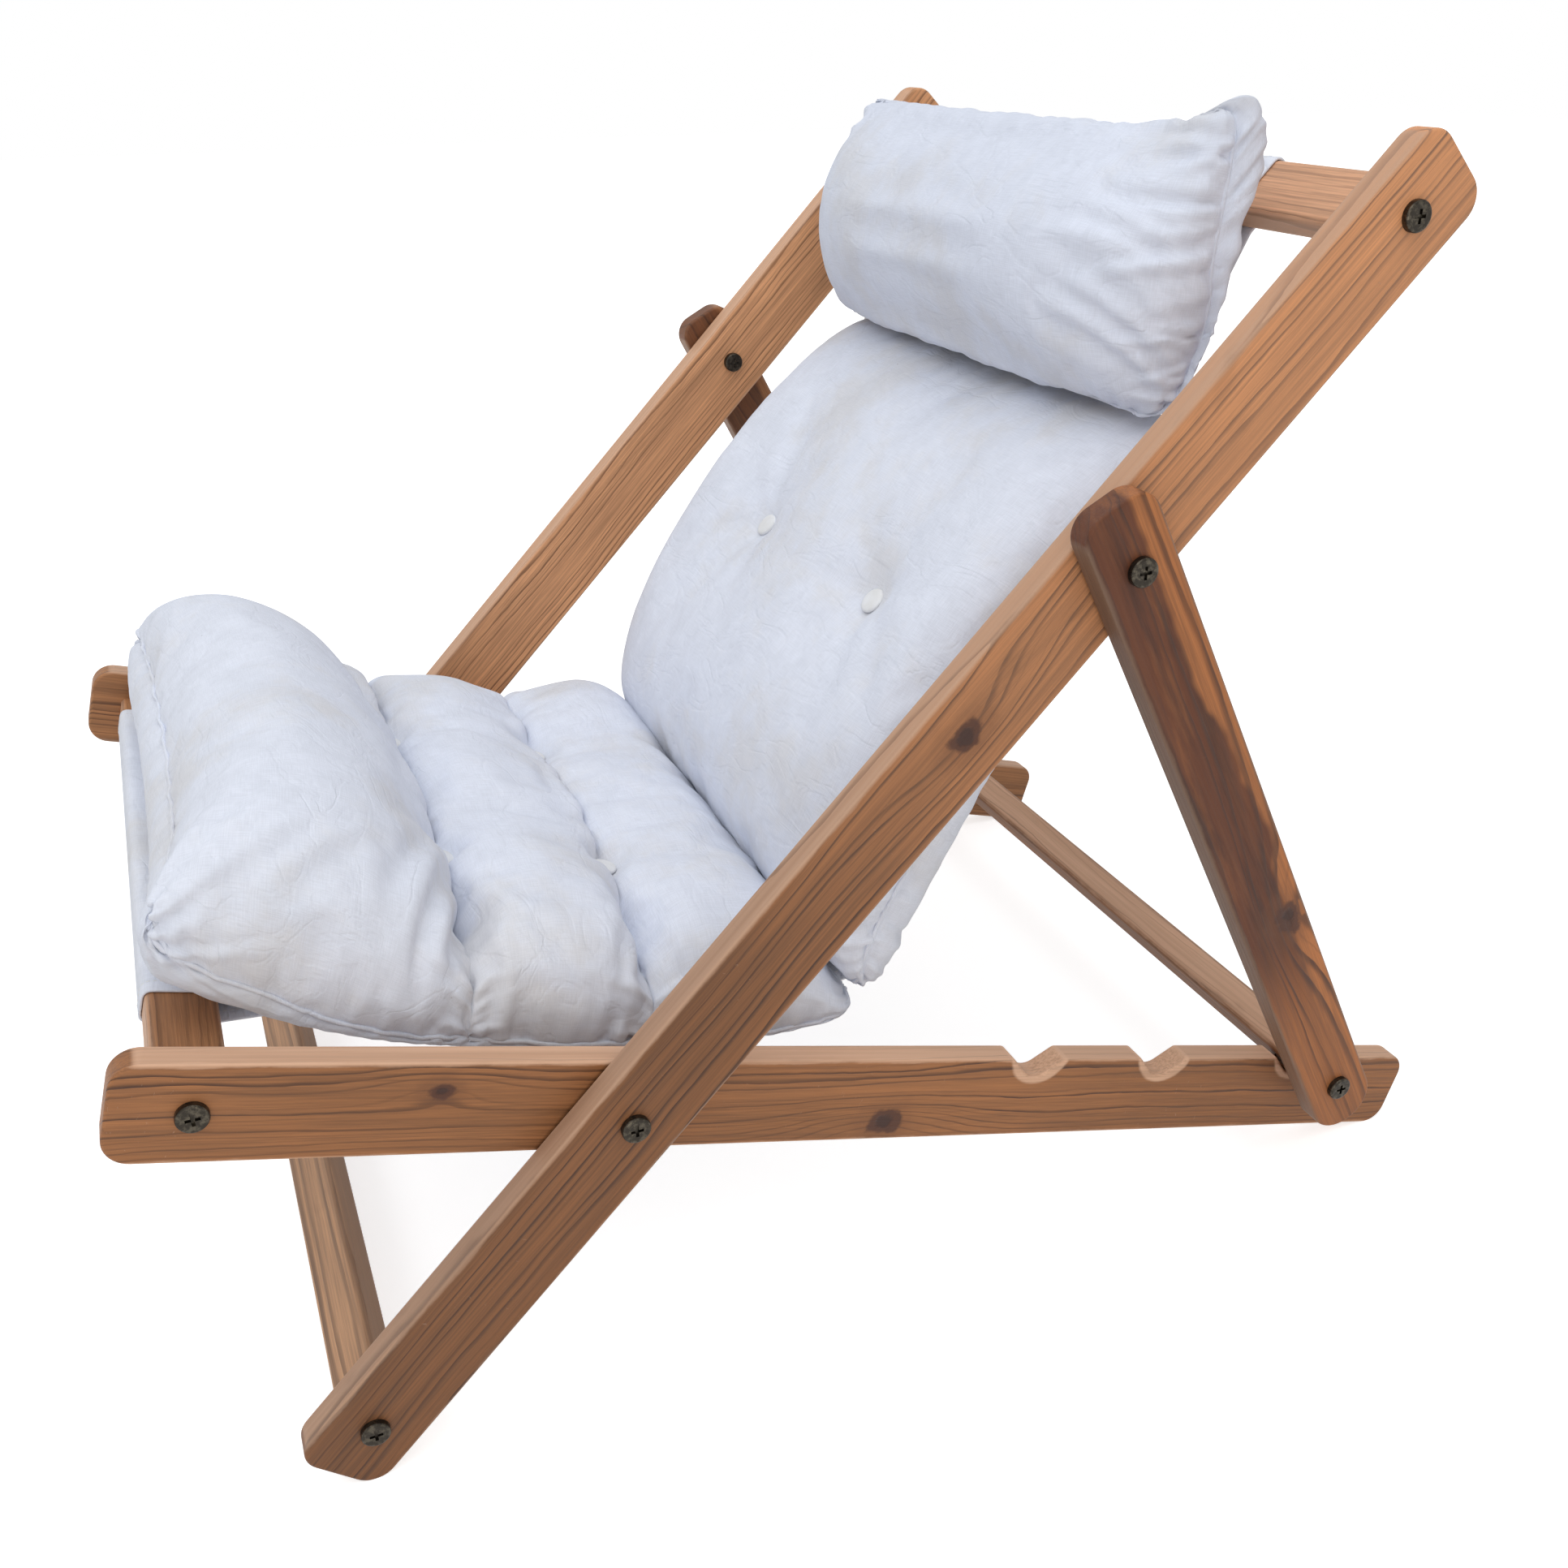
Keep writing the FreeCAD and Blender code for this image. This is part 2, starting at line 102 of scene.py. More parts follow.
# Undersides of the two cushions and a share of their height, kept with each cushion's line but not used to
# press the cushions
PRESSED = 0.75
BACK_REST = Line(POST.at(165, -175), POST.at(606, -50))
SEAT_PRESS = RAIL.above, RAIL.at(0, 10), PRESSED
BACK_PRESS = BACK_REST.above, BACK_REST.start, PRESSED

# Places in millimetres: the front and top rails along their boards, and the buttons across and along the chair
FRONT_RAIL, TOP_RAIL = -273.0, 760.0
BUTTON_SIDES, BACK_BUTTONS = (-108, 108), 375


# Settings that a user would change
class ChairWood(bpy.types.PropertyGroup):
    early: bpy.props.FloatVectorProperty(
        name="Early wood", description="Colour of the pine between its growth lines", subtype="COLOR",
        size=3, min=0, max=1, default=(0.375, 0.176, 0.079))
    late: bpy.props.FloatVectorProperty(
        name="Late wood", description="Colour of the dark growth lines", subtype="COLOR",
        size=3, min=0, max=1, default=(0.058, 0.022, 0.009))
    heart: bpy.props.FloatVectorProperty(
        name="Heartwood", description="Colour of the red heartwood on the props", subtype="COLOR",
        size=3, min=0, max=1, default=(0.106, 0.031, 0.0105))
    worn: bpy.props.FloatVectorProperty(
        name="Worn wood", description="Colour of bare wood on rubbed edges and in the notches", subtype="COLOR",
        size=3, min=0, max=1, default=(0.60, 0.375, 0.25))
    ring_gap: bpy.props.FloatProperty(
        name="Ring gap", description="Distance between growth lines", unit="LENGTH", min=0.001, max=0.02,
        default=0.0042)


class ChairMetal(bpy.types.PropertyGroup):
    bronze: bpy.props.FloatVectorProperty(
        name="Bronze", description="Colour of the bolt heads", subtype="COLOR", size=3, min=0, max=1,
        default=(0.033, 0.028, 0.022))
    rubbed: bpy.props.FloatVectorProperty(
        name="Rubbed bronze", description="Colour where the bolt heads are rubbed", subtype="COLOR", size=3,
        min=0, max=1, default=(0.082, 0.070, 0.052))
    zinc: bpy.props.FloatVectorProperty(
        name="Zinc", description="Colour of the barrel nuts and washers", subtype="COLOR", size=3, min=0,
        max=1, default=(0.52, 0.52, 0.50))


class ChairCloth(bpy.types.PropertyGroup):
    canvas: bpy.props.FloatVectorProperty(
        name="Canvas", description="Colour of the cushion covers and the sling", subtype="COLOR", size=3,
        min=0, max=1, default=(0.725, 0.76, 0.855))
    soiled: bpy.props.FloatVectorProperty(
        name="Soiled canvas", description="Colour of faint stains in the canvas", subtype="COLOR", size=3,
        min=0, max=1, default=(0.60, 0.575, 0.55))
    thread: bpy.props.FloatVectorProperty(
        name="Thread", description="Colour of the sewing thread", subtype="COLOR", size=3, min=0, max=1,
        default=(0.78, 0.77, 0.75))
    cell: bpy.props.FloatProperty(
        name="Cushion mesh", description="Size of a cushion's mesh cells", unit="LENGTH", min=0.004, max=0.02,
        default=0.0070)
    frames: bpy.props.IntProperty(
        name="Filling steps", description="Steps of cloth simulation while a cushion fills", min=2, max=60,
        default=18)


class ChairStage(bpy.types.PropertyGroup):
    floor: bpy.props.FloatVectorProperty(
        name="Floor", description="Colour of the floor", subtype="COLOR", size=3, min=0, max=1,
        default=(0.86, 0.86, 0.86))
    key: bpy.props.FloatProperty(
        name="Key light", description="Power of the large lamp overhead", subtype="POWER", min=0, default=45.0)
    fill: bpy.props.FloatProperty(
        name="Sky", description="Strength of the light from all round", min=0, default=0.52)
    lens: bpy.props.FloatProperty(
        name="Lens", description="Focal length of the camera", unit="CAMERA", min=10, max=200, default=34.33)


def look(name):
    return getattr(bpy.context.scene, "chair_" + name)


# Node trees
class Nodes:
    """Adds nodes to a tree and joins them, with numbers and sockets given alike."""

    def __init__(self, tree):
        self.tree = tree

    def feed(self, socket, value):
        if isinstance(value, bpy.types.NodeSocket):
            self.tree.links.new(value, socket)
        else:
            socket.default_value = value

    def add(self, kind, inputs=None, **settings):
        node = self.tree.nodes.new(kind)
        for name, value in settings.items():
            setattr(node, name, value)
        for name, value in (inputs or {}).items():
            self.feed(node.inputs[name], value)
        return node

    def math(self, operation, *values):
        node = self.add("ShaderNodeMath", operation=operation)
        for socket, value in zip(node.inputs, values):
            self.feed(socket, value)
        return node.outputs[0]

    def times(self, first, second):
        return self.math("MULTIPLY", first, second)

    def plus(self, first, second):
        return self.math("ADD", first, second)

    def minus(self, first, second):
        return self.math("SUBTRACT", first, second)

    def hypot(self, first, second):
        return self.math("SQRT", self.plus(self.math("POWER", first, 2), self.math("POWER", second, 2)))

    def vector(self, operation, *values):
        node = self.add("ShaderNodeVectorMath", operation=operation)
        for socket, value in zip(node.inputs, values):
            self.feed(socket, value)
        return node.outputs["Value" if operation in ("LENGTH", "DISTANCE") else "Vector"]

    def shade(self, colour, tone):
        """Colour made lighter or darker by a number."""
        return self.vector("MULTIPLY", colour, self.join(tone, tone, tone))

    def step(self, value, low, high, to_low=0.0, to_high=1.0):
        """Smooth change from one value to another as the input goes from low to high."""
        node = self.add("ShaderNodeMapRange", interpolation_type="SMOOTHSTEP")
        for name, given in (("Value", value), ("From Min", low), ("From Max", high), ("To Min", to_low),
                            ("To Max", to_high)):
            self.feed(node.inputs[name], given)
        return node.outputs["Result"]

    def mix(self, factor, low, high):
        node = self.add("ShaderNodeMix", data_type="RGBA")
        for index, value in ((0, factor), (6, low), (7, high)):
            self.feed(node.inputs[index], value)
        return node.outputs[2]

    def noise(self, vector, scale, detail=2.0, roughness=0.5, distortion=0.0):
        node = self.add("ShaderNodeTexNoise", {"Vector": vector, "Scale": scale, "Detail": detail,
                                               "Roughness": roughness, "Distortion": distortion})
        return node.outputs["Fac"]

    def split(self, vector):
        return self.add("ShaderNodeSeparateXYZ", {"Vector": vector}).outputs

    def join(self, x, y, z):
        return self.add("ShaderNodeCombineXYZ", {"X": x, "Y": y, "Z": z}).outputs[0]


def group_tree(name, inputs, outputs):
    """Empty shader node group with named sockets, its builder, and the sockets to read from and to feed."""
    tree = bpy.data.node_groups.new(name, "ShaderNodeTree")
    for kind, sockets in (("INPUT", inputs), ("OUTPUT", outputs)):
        for label, (socket, default) in sockets.items():
            made = tree.interface.new_socket(label, in_out=kind, socket_type="NodeSocket" + socket)
            if kind == "INPUT":
                made.default_value = default
    build = Nodes(tree)
    return tree, build, build.add("NodeGroupInput").outputs, build.add("NodeGroupOutput").inputs


def rgba(colour, tint=(1, 1, 1)):
    return (*(a * b for a, b in zip(colour, tint)), 1.0)


# Fixed colours of the pine and the canvas
DARK_HEART = (0.060, 0.018, 0.007, 1)
HEART_LINE = (0.030, 0.012, 0.007, 1)
RESIN = (0.150, 0.058, 0.024, 1)
KNOT_RIM = (0.062, 0.021, 0.011, 1)
KNOT_MIDDLE = (0.026, 0.009, 0.006, 1)
GRIME = (0.10, 0.055, 0.032, 1)
SPECK = (0.16, 0.12, 0.09, 1)

# How much longer than wide a knot is, and the grain's bulge round it; height of a notch's middle on its board
KNOT_LONG, BULGE_LONG, NOTCH_HIGH = 1.45, 3.4, 0.041
NATURAL_BASE, FULL_TURN = 2.718, 6.2832


def pine_group():
    """Growth lines, fibres, heartwood, knots and rubbed edges, in a board's own directions."""
    found = bpy.data.node_groups.get("Pine grain")
    if found:
        return found
    tree, n, into, out = group_tree("Pine grain", {
        "Board": ("Vector", (0, 0, 0)), "Seed": ("Float", 0.0), "Early": ("Color", (0.5, 0.3, 0.15, 1)),
        "Late": ("Color", (0.2, 0.1, 0.05, 1)), "Heart": ("Color", (0.2, 0.07, 0.03, 1)),
        "Worn": ("Color", (0.6, 0.4, 0.2, 1)), "Ring gap": ("Float", 0.004), "Heart amount": ("Float", 0.0),
        "Pith": ("Vector", (0.03, 0, 0.02)), "Knot one": ("Vector", (9, 0, 0.001)),
        "Knot two": ("Vector", (9, 0, 0.001)), "Half size": ("Vector", (0.0105, 0.5, 0.035)),
        "Line depth": ("Float", 0.8), "Bleached": ("Vector", (8, 9, 0)), "Notches": ("Vector", (9, 9, 9)),
    }, {"Color": ("Color", None), "Roughness": ("Float", None), "Height": ("Float", None)})
    seed = n.vector("SCALE", n.join(3.17, 1.73, 2.31))
    n.feed(seed.node.inputs["Scale"], into["Seed"])
    board = into["Board"]
    thick, along, wide = n.split(board)
    moved = n.vector("ADD", board, seed)

    def stretched(x, y, z):
        return n.vector("MULTIPLY", moved, (x, y, z))

    def swing(value, amount):
        return n.times(n.minus(value, 0.5), amount)

    # Knots push the growth lines aside
    knots = []
    bulge = 0.0
    for name in ("Knot one", "Knot two"):
        knot_along, knot_wide, size = n.split(into[name])
        away_along = n.minus(along, knot_along)
        away_wide = n.minus(wide, knot_wide)
        wobble = n.times(swing(n.noise(moved, 75.0, 4, 0.55), 1.3), size)
        away = n.hypot(n.math("DIVIDE", away_along, KNOT_LONG), away_wide)
        ratio = n.math("DIVIDE", n.plus(away, wobble), size)
        spread = n.hypot(n.math("DIVIDE", away_along, BULGE_LONG), away_wide)
        spread = n.math("POWER", n.math("DIVIDE", spread, n.times(size, 1.9)), 2)
        near = n.math("POWER", NATURAL_BASE, n.times(spread, -1.0))
        bulge = n.plus(bulge, n.times(near, n.times(size, 1.35)))
        knots.append(ratio)

    # Growth rings round a pith line a little askew to the board, close in some years and wide in others
    pith_thick, slant, pith_wide = n.split(into["Pith"])
    off_wide = n.minus(n.minus(wide, pith_wide), n.times(along, slant))
    off_thick = n.minus(thick, pith_thick)
    sway = swing(n.noise(stretched(8, 2.2, 8), 1.0, 2), 0.024)
    ripple = swing(n.noise(stretched(45, 11, 45), 1.0, 3, 0.6), 0.0046)
    radius = n.plus(n.plus(n.hypot(off_wide, off_thick), n.plus(sway, ripple)), bulge)
    phase = n.math("DIVIDE", radius, into["Ring gap"])
    uneven = n.noise(n.join(n.times(phase, 0.23), into["Seed"], 0.0), 1.0, 2)
    phase = n.plus(phase, swing(uneven, 4.5))
    ring = n.math("FRACT", phase)
    year = n.add("ShaderNodeTexWhiteNoise", {"W": n.plus(n.math("FLOOR", phase), into["Seed"])},
                 noise_dimensions="1D").outputs["Value"]
    line = n.times(n.step(ring, n.step(year, 0.0, 1.0, 0.70, 0.42), 0.90), n.step(ring, 1.0, 0.95))
    line = n.times(line, n.step(year, 0.0, 0.9, 0.22, 1.0))
    fibre = n.noise(stretched(620, 11, 620), 1.0, 4, 0.7)
    streak = n.noise(stretched(140, 3.0, 140), 1.0, 3, 0.6)
    patch = n.noise(stretched(11, 2.6, 11), 1.0, 3, 0.55)
    line = n.times(line, n.step(streak, 0.25, 0.65, 0.45, 1.0))
    line = n.times(line, n.step(patch, 0.30, 0.60, 0.65, 1.0))

    base = n.mix(n.times(line, into["Line depth"]), into["Early"], into["Late"])
    tone = n.plus(n.step(patch, 0.28, 0.72, -0.16, 0.16), n.step(streak, 0.2, 0.8, -0.13, 0.11))
    tone = n.plus(n.plus(tone, n.step(fibre, 0.28, 0.72, -0.24, 0.20)), 1.0)
    bleach_from, bleach_to, bleach = n.split(into["Bleached"])
    bleach = n.times(n.step(along, bleach_from, bleach_to), bleach)
    tone = n.times(tone, n.plus(bleach, 1.0))
    base = n.shade(base, tone)
    base = n.mix(n.times(bleach, 0.12), base, into["Worn"])

    # Heartwood keeps to one side of the board and breaks up along the grain
    wander = swing(n.noise(stretched(3, 7, 3), 1.0, 3, 0.6), 0.045)
    side = n.step(n.plus(wide, wander), 0.017, 0.011)
    blotch = n.noise(stretched(30, 6, 60), 1.0, 5, 0.65)
    red = n.times(side, n.step(blotch, 0.28, 0.50, 0.72, 1.0))
    red = n.times(red, n.step(streak, 0.2, 0.5, 0.82, 1.0))
    red = n.times(n.times(red, n.step(along, 0.50, 0.33, 0.15, 1.0)), into["Heart amount"])
    figure = n.noise(stretched(60, 9, 90), 1.0, 4, 0.6)
    dark = n.mix(n.step(figure, 0.44, 0.66), into["Heart"], DARK_HEART)
    base = n.mix(red, base, n.mix(n.times(line, 0.7), dark, HEART_LINE))

    # Knots: resin round them and a dark, sunken middle
    height = n.times(line, 0.4)
    for ratio in knots:
        halo = n.times(n.step(ratio, 2.4, 0.9), n.step(streak, 0.3, 0.7, 0.5, 1.0))
        base = n.mix(n.times(halo, 0.55), base, RESIN)
        inside = n.step(ratio, 1.1, 0.75)
        base = n.mix(n.times(inside, 0.9), base, KNOT_RIM)
        middle_of = n.step(ratio, 0.62, 0.30)
        base = n.mix(n.times(middle_of, 0.75), base, KNOT_MIDDLE)
        height = n.minus(height, n.times(middle_of, 1.2))

    # Rubbed edges, narrow faces in bare wood with painted light and shade from each board's Worn tone, chipped
    # notches, scuffs and grime
    half_thick, _, half_wide = n.split(into["Half size"])
    to_side = n.minus(half_thick, n.math("ABSOLUTE", thick))
    to_edge = n.minus(half_wide, n.math("ABSOLUTE", wide))
    corner = n.math("MAXIMUM", to_side, to_edge)
    ragged = n.times(n.noise(stretched(60, 22, 60), 1.0, 4, 0.65), 0.0052)
    rub = n.step(n.minus(corner, ragged), 0.0006, -0.0016)
    narrow = n.step(to_edge, 0.0016, 0.0002)
    bare = n.times(n.step(line, 0.1, 0.9, 0.90, 0.46), n.step(streak, 0.25, 0.75, 0.66, 1.0))
    # Painted light and shade: the narrow faces take the Worn colour at each board's tone, lighter where they
    # face up into the light, darker where they lie in shade
    base = n.mix(n.times(narrow, bare), base, into["Worn"])
    base = n.mix(n.times(rub, 0.5), base, into["Worn"])
    for notch in n.split(into["Notches"]):
        reach = n.vector("DISTANCE", n.join(0.0, along, wide), n.join(0.0, notch, NOTCH_HIGH))
        chipped = n.step(n.plus(reach, n.times(ragged, 0.9)), 0.0315, 0.0285)
        base = n.mix(n.times(chipped, n.step(fibre, 0.3, 0.7, 0.55, 0.95)), base, into["Worn"])
    scratch = n.step(n.noise(stretched(70, 420, 160), 1.0, 3, 0.7, 0.6), 0.66, 0.74)
    scuff = n.times(scratch, n.step(n.noise(stretched(9, 9, 9), 1.0, 2), 0.46, 0.66))
    base = n.mix(n.times(scuff, 0.30), base, into["Worn"])
    grime = n.step(n.noise(stretched(30, 11, 30), 1.0, 3, 0.6), 0.60, 0.80)
    base = n.mix(n.times(grime, 0.30), base, GRIME)

    height = n.plus(height, n.times(fibre, 0.5))
    height = n.minus(height, n.times(scuff, 0.5))
    n.feed(out["Color"], base)
    n.feed(out["Roughness"], n.plus(n.step(fibre, 0.2, 0.8, 0.50, 0.66), n.times(line, -0.06)))
    n.feed(out["Height"], height)
    return tree


def new_material(name):
    material = bpy.data.materials.new(name)
    material.use_nodes = True
    material.node_tree.nodes.clear()
    n = Nodes(material.node_tree)
    shader = n.add("ShaderNodeBsdfPrincipled")
    n.tree.links.new(shader.outputs[0], n.add("ShaderNodeOutputMaterial").inputs["Surface"])
    return material, n, shader


def surface(n, shader, colour, roughness, height, distance, strength):
    """Colour, roughness and relief of a material."""
    n.feed(shader.inputs["Base Color"], colour)
    n.feed(shader.inputs["Roughness"], roughness)
    made = n.add("ShaderNodeBump", {"Strength": strength, "Distance": distance, "Height": height})
    n.feed(shader.inputs["Normal"], made.outputs["Normal"])


def grouped(n, shader, tree, values, distance, strength):
    """Surface from a node group, with this material's values."""
    group = n.add("ShaderNodeGroup", node_tree=tree)
    for label, value in values.items():
        n.feed(group.inputs[label], value)
    surface(n, shader, *group.outputs, distance, strength)


def coat(node, material):
    """Make a material the only one of a solid."""
    NODES[node].data.materials.clear()
    NODES[node].data.materials.append(material)


def pine_material(name, rows, centre, half, seed, pith, knots=(), heart=0.0, tint=(1, 1, 1), gap=1.0, depth=0.8,
                  edge=1.0, bleached=(8, 9, 0), notches=(9, 9, 9)):
    """Pine for one board: rows are its ways of thickness, length and width, edge the tone of its bare narrow
    faces and rubbed marks, which also paints light on narrow faces that face up into the light and shade on
    those in shade.
    """
    wood = look("wood")
    material, n, shader = new_material(name)
    turn = Matrix(rows)
    place = n.add("ShaderNodeMapping", {
        "Vector": n.add("ShaderNodeTexCoord").outputs["Object"],
        "Rotation": turn.to_euler("XYZ"), "Location": -(turn @ centre)})
    values = {
        "Board": place.outputs[0], "Seed": seed, "Ring gap": wood.ring_gap * gap, "Heart amount": heart,
        "Pith": pith, "Half size": half, "Line depth": depth, "Bleached": bleached, "Notches": notches,
        "Early": rgba(wood.early, tint), "Late": rgba(wood.late, tint), "Heart": rgba(wood.heart),
        # The edge tone scales the bare wood colour: wear, with painted light and shade on the narrow faces
        "Worn": rgba(wood.worn, (edge, edge, edge)), **dict(zip(("Knot one", "Knot two"), knots)),
    }
    grouped(n, shader, pine_group(), values, 0.0006, 0.6)
    shader.inputs["Specular IOR Level"].default_value = 0.35
    return material


def metal_material(name, colour, rubbed, roughness):
    """Finished metal, rubbed in patches."""
    material, n, shader = new_material(name)
    place = n.add("ShaderNodeTexCoord").outputs["Object"]
    patch = n.noise(place, 260.0, 4, 0.6)
    fine = n.noise(place, 1400.0, 2)
    worn = n.step(n.plus(patch, n.times(fine, 0.25)), 0.56, 0.78)
    gloss = n.step(patch, 0.3, 0.7, roughness + 0.1, roughness - 0.08)
    height = n.plus(patch, n.times(fine, 0.4))
    surface(n, shader, n.mix(worn, rgba(colour), rgba(rubbed)), gloss, height, 0.0001, 0.3)
    shader.inputs["Metallic"].default_value = 0.9
    return material


def canvas_group():
    """Plain weave with slubs, specks, faint stains and soft creases, on a cloth's own metres."""
    found = bpy.data.node_groups.get("Canvas weave")
    if found:
        return found
    tree, n, into, out = group_tree("Canvas weave", {
        "Cloth": ("Vector", (0, 0, 0)), "Place": ("Vector", (0, 0, 0)), "Canvas": ("Color", (0.7, 0.7, 0.7, 1)),
        "Soiled": ("Color", (0.6, 0.55, 0.5, 1)), "Thread gap": ("Float", 0.0009), "Crease": ("Float", 1.0),
    }, {"Color": ("Color", None), "Roughness": ("Float", None), "Height": ("Float", None)})
    across, along, _ = n.split(into["Cloth"])
    turns = n.math("DIVIDE", FULL_TURN, into["Thread gap"])
    warp = n.math("SINE", n.times(across, turns))
    weft = n.math("SINE", n.times(along, turns))
    weave = n.times(warp, weft)
    slub_across = n.noise(n.vector("MULTIPLY", into["Cloth"], (70, 1400, 1)), 1.0, 2)
    slub_along = n.noise(n.vector("MULTIPLY", into["Cloth"], (1400, 70, 1)), 1.0, 2)
    slub = n.plus(slub_across, slub_along)
    cloud = n.noise(into["Place"], 7.0, 4, 0.6)
    mottle = n.noise(into["Place"], 38.0, 4, 0.65)
    stain = n.step(n.plus(cloud, n.times(mottle, 0.30)), 0.62, 0.84)
    speck = n.add("ShaderNodeTexVoronoi", {"Vector": into["Place"], "Scale": 62.0, "Randomness": 1.0})
    chance = n.split(speck.outputs["Color"])[0]
    speck = n.step(speck.outputs["Distance"], 0.055, 0.02)
    speck = n.times(speck, n.math("GREATER_THAN", chance, 0.965))
    tone = n.plus(n.step(mottle, 0.25, 0.75, 0.955, 1.035), n.step(slub, 0.7, 1.3, -0.045, 0.045))
    tone = n.plus(tone, n.times(weave, 0.02))
    base = n.mix(n.times(stain, 0.45), into["Canvas"], into["Soiled"])
    base = n.shade(base, tone)
    base = n.mix(n.times(speck, 0.7), base, SPECK)
    crumple = n.noise(n.vector("MULTIPLY", into["Place"], (0.7, 1.3, 1.3)), 21.0, 3, 0.5, 1.2)
    fold = n.math("ABSOLUTE", n.minus(crumple, 0.5))
    crease = n.times(n.step(fold, 0.0, 0.07), into["Crease"])
    height = n.plus(n.times(weave, 0.05), n.times(slub, 0.10))
    height = n.plus(height, n.times(crease, 0.40))
    height = n.plus(height, n.times(n.noise(into["Place"], 90.0, 3, 0.6), 0.22))
    n.feed(out["Color"], base)
    n.feed(out["Roughness"], n.step(slub, 0.6, 1.4, 0.86, 0.94))
    n.feed(out["Height"], height)
    return tree


def canvas_material(name, tint=(1, 1, 1), crease=1.0):
    """Canvas for one cover, with its own tint and depth of creases."""
    cloth = look("cloth")
    material, n, shader = new_material(name)
    grouped(n, shader, canvas_group(), {
        "Cloth": n.add("ShaderNodeUVMap", uv_map="cloth").outputs[0],
        "Place": n.add("ShaderNodeTexCoord").outputs["Object"],
        "Canvas": rgba(cloth.canvas, tint), "Soiled": rgba(cloth.soiled, tint), "Crease": crease,
    }, 0.0012, 0.6)
    shader.inputs["Specular IOR Level"].default_value = 0.15
    shader.inputs["Sheen Weight"].default_value = 0.12
    shader.inputs["Sheen Roughness"].default_value = 0.6
    return material


def button_material():
    """Smooth white cloth drawn tight over a button."""
    material, n, shader = new_material("button cover")
    place = n.add("ShaderNodeTexCoord").outputs["Object"]
    weave = n.noise(place, 1600.0, 2)
    cloud = n.noise(place, 90.0, 3)
    colour = n.mix(n.step(cloud, 0.3, 0.75), (0.76, 0.77, 0.79, 1), (0.70, 0.70, 0.70, 1))
    surface(n, shader, colour, n.step(weave, 0.2, 0.8, 0.6, 0.75), weave, 0.0002, 0.4)
    return material


def thread_material():
    """Twisted sewing thread, with painted shade in its grooves."""
    material, n, shader = new_material("sewing thread")
    place = n.add("ShaderNodeTexCoord").outputs["Object"]
    twist = n.noise(place, 900.0, 2)
    thread = rgba(look("cloth").thread)
    # Painted shade: the thread's colour is darker where its twist relief is low
    groove_shade = n.mix(0.2, thread, (0.4, 0.38, 0.34, 1))
    surface(n, shader, n.mix(n.step(twist, 0.3, 0.7), groove_shade, thread), 0.8, twist, 0.0002, 0.5)
    return material


# Meshes
def add_object(name, verts, faces, material=None):
    mesh = bpy.data.meshes.new(name)
    mesh.from_pydata([tuple(v) for v in verts], [], faces)
    mesh.validate()
    piece = bpy.data.objects.new(name, mesh)
    bpy.context.scene.collection.objects.link(piece)
    if material:
        mesh.materials.append(material)
    return piece


def smooth(piece):
    piece.data.polygons.foreach_set("use_smooth", [True] * len(piece.data.polygons))


def lay_cloth(piece, spots):
    """Give a piece its own map of the cloth, in metres."""
    piece.data.uv_layers.new(name="cloth").data.foreach_set("uv", np.array(spots).ravel())


def settle(piece):
    """Make the evaluated shape the piece's own plain mesh."""
    graph = bpy.context.evaluated_depsgraph_get()
    graph.update()
    made = bpy.data.meshes.new_from_object(
        piece.evaluated_get(graph), preserve_all_data_layers=True, depsgraph=graph)
    old = piece.data
    piece.modifiers.clear()
    piece.data = made
    made.name = piece.name
    bpy.data.meshes.remove(old)


def coordinates(mesh):
    found = np.empty(len(mesh.vertices) * 3)
    mesh.vertices.foreach_get("co", found)
    return found.reshape(-1, 3)


def through(points, count, crowd):
    """Points on a smooth curve through the given ones, closer together at both ends where crowded."""
    points = np.array(points, float)
    gaps = np.sqrt(np.linalg.norm(np.diff(points, axis=0), axis=1))
    knots = np.concatenate([[0.0], np.cumsum(gaps)])
    first, last = 2 * points[0] - points[1], 2 * points[-1] - points[-2]
    padded = np.vstack([first, points, last])
    marks = np.concatenate([[-gaps[0]], knots, [knots[-1] + gaps[-1]]])
    fine = []
    for i in range(len(points) - 1):
        p, t = padded[i : i + 4], marks[i : i + 4]
        for u in np.linspace(knots[i], knots[i + 1], 24, endpoint=False):
            a = [p[k] + (p[k + 1] - p[k]) * (u - t[k]) / (t[k + 1] - t[k]) for k in range(3)]
            b = [a[k] + (a[k + 1] - a[k]) * (u - t[k]) / (t[k + 2] - t[k]) for k in range(2)]
            fine.append(b[0] + (b[1] - b[0]) * (u - t[1]) / (t[2] - t[1]))
    fine.append(points[-1])
    return spaced(np.array(fine), count, crowd)


def lengths(points):
    return np.concatenate([[0.0], np.cumsum(np.linalg.norm(np.diff(points, axis=0), axis=1))])


def spaced(points, count, crowd=0.0):
    run = lengths(points)
    share = np.linspace(0, 1, count + 1)
    share = share - crowd * np.sin(2 * math.pi * share) / (2 * math.pi)
    return np.stack([np.interp(share * run[-1], run, points[:, k]) for k in range(points.shape[1])], 1)


def arch(half, rise, count, ends, crown):
    """Places across a cushion and how far each is lifted from the seam, with a roundness for each end."""
    turn = np.linspace(0, math.pi, 600)
    power = 2 / np.where(np.cos(turn) > 0, *ends)
    x = -half * np.sign(np.cos(turn)) * np.abs(np.cos(turn)) ** power
    lift = np.abs(np.sin(turn)) ** (2 / crown)
    made = spaced(np.stack([x, lift * rise], 1), count, 0.45)
    return made[:, 0], made[:, 1] / rise


def ease(share):
    """Smooth start and end for a share from nothing to one."""
    share = np.clip(share, 0, 1)
    return share * share * (3 - 2 * share)


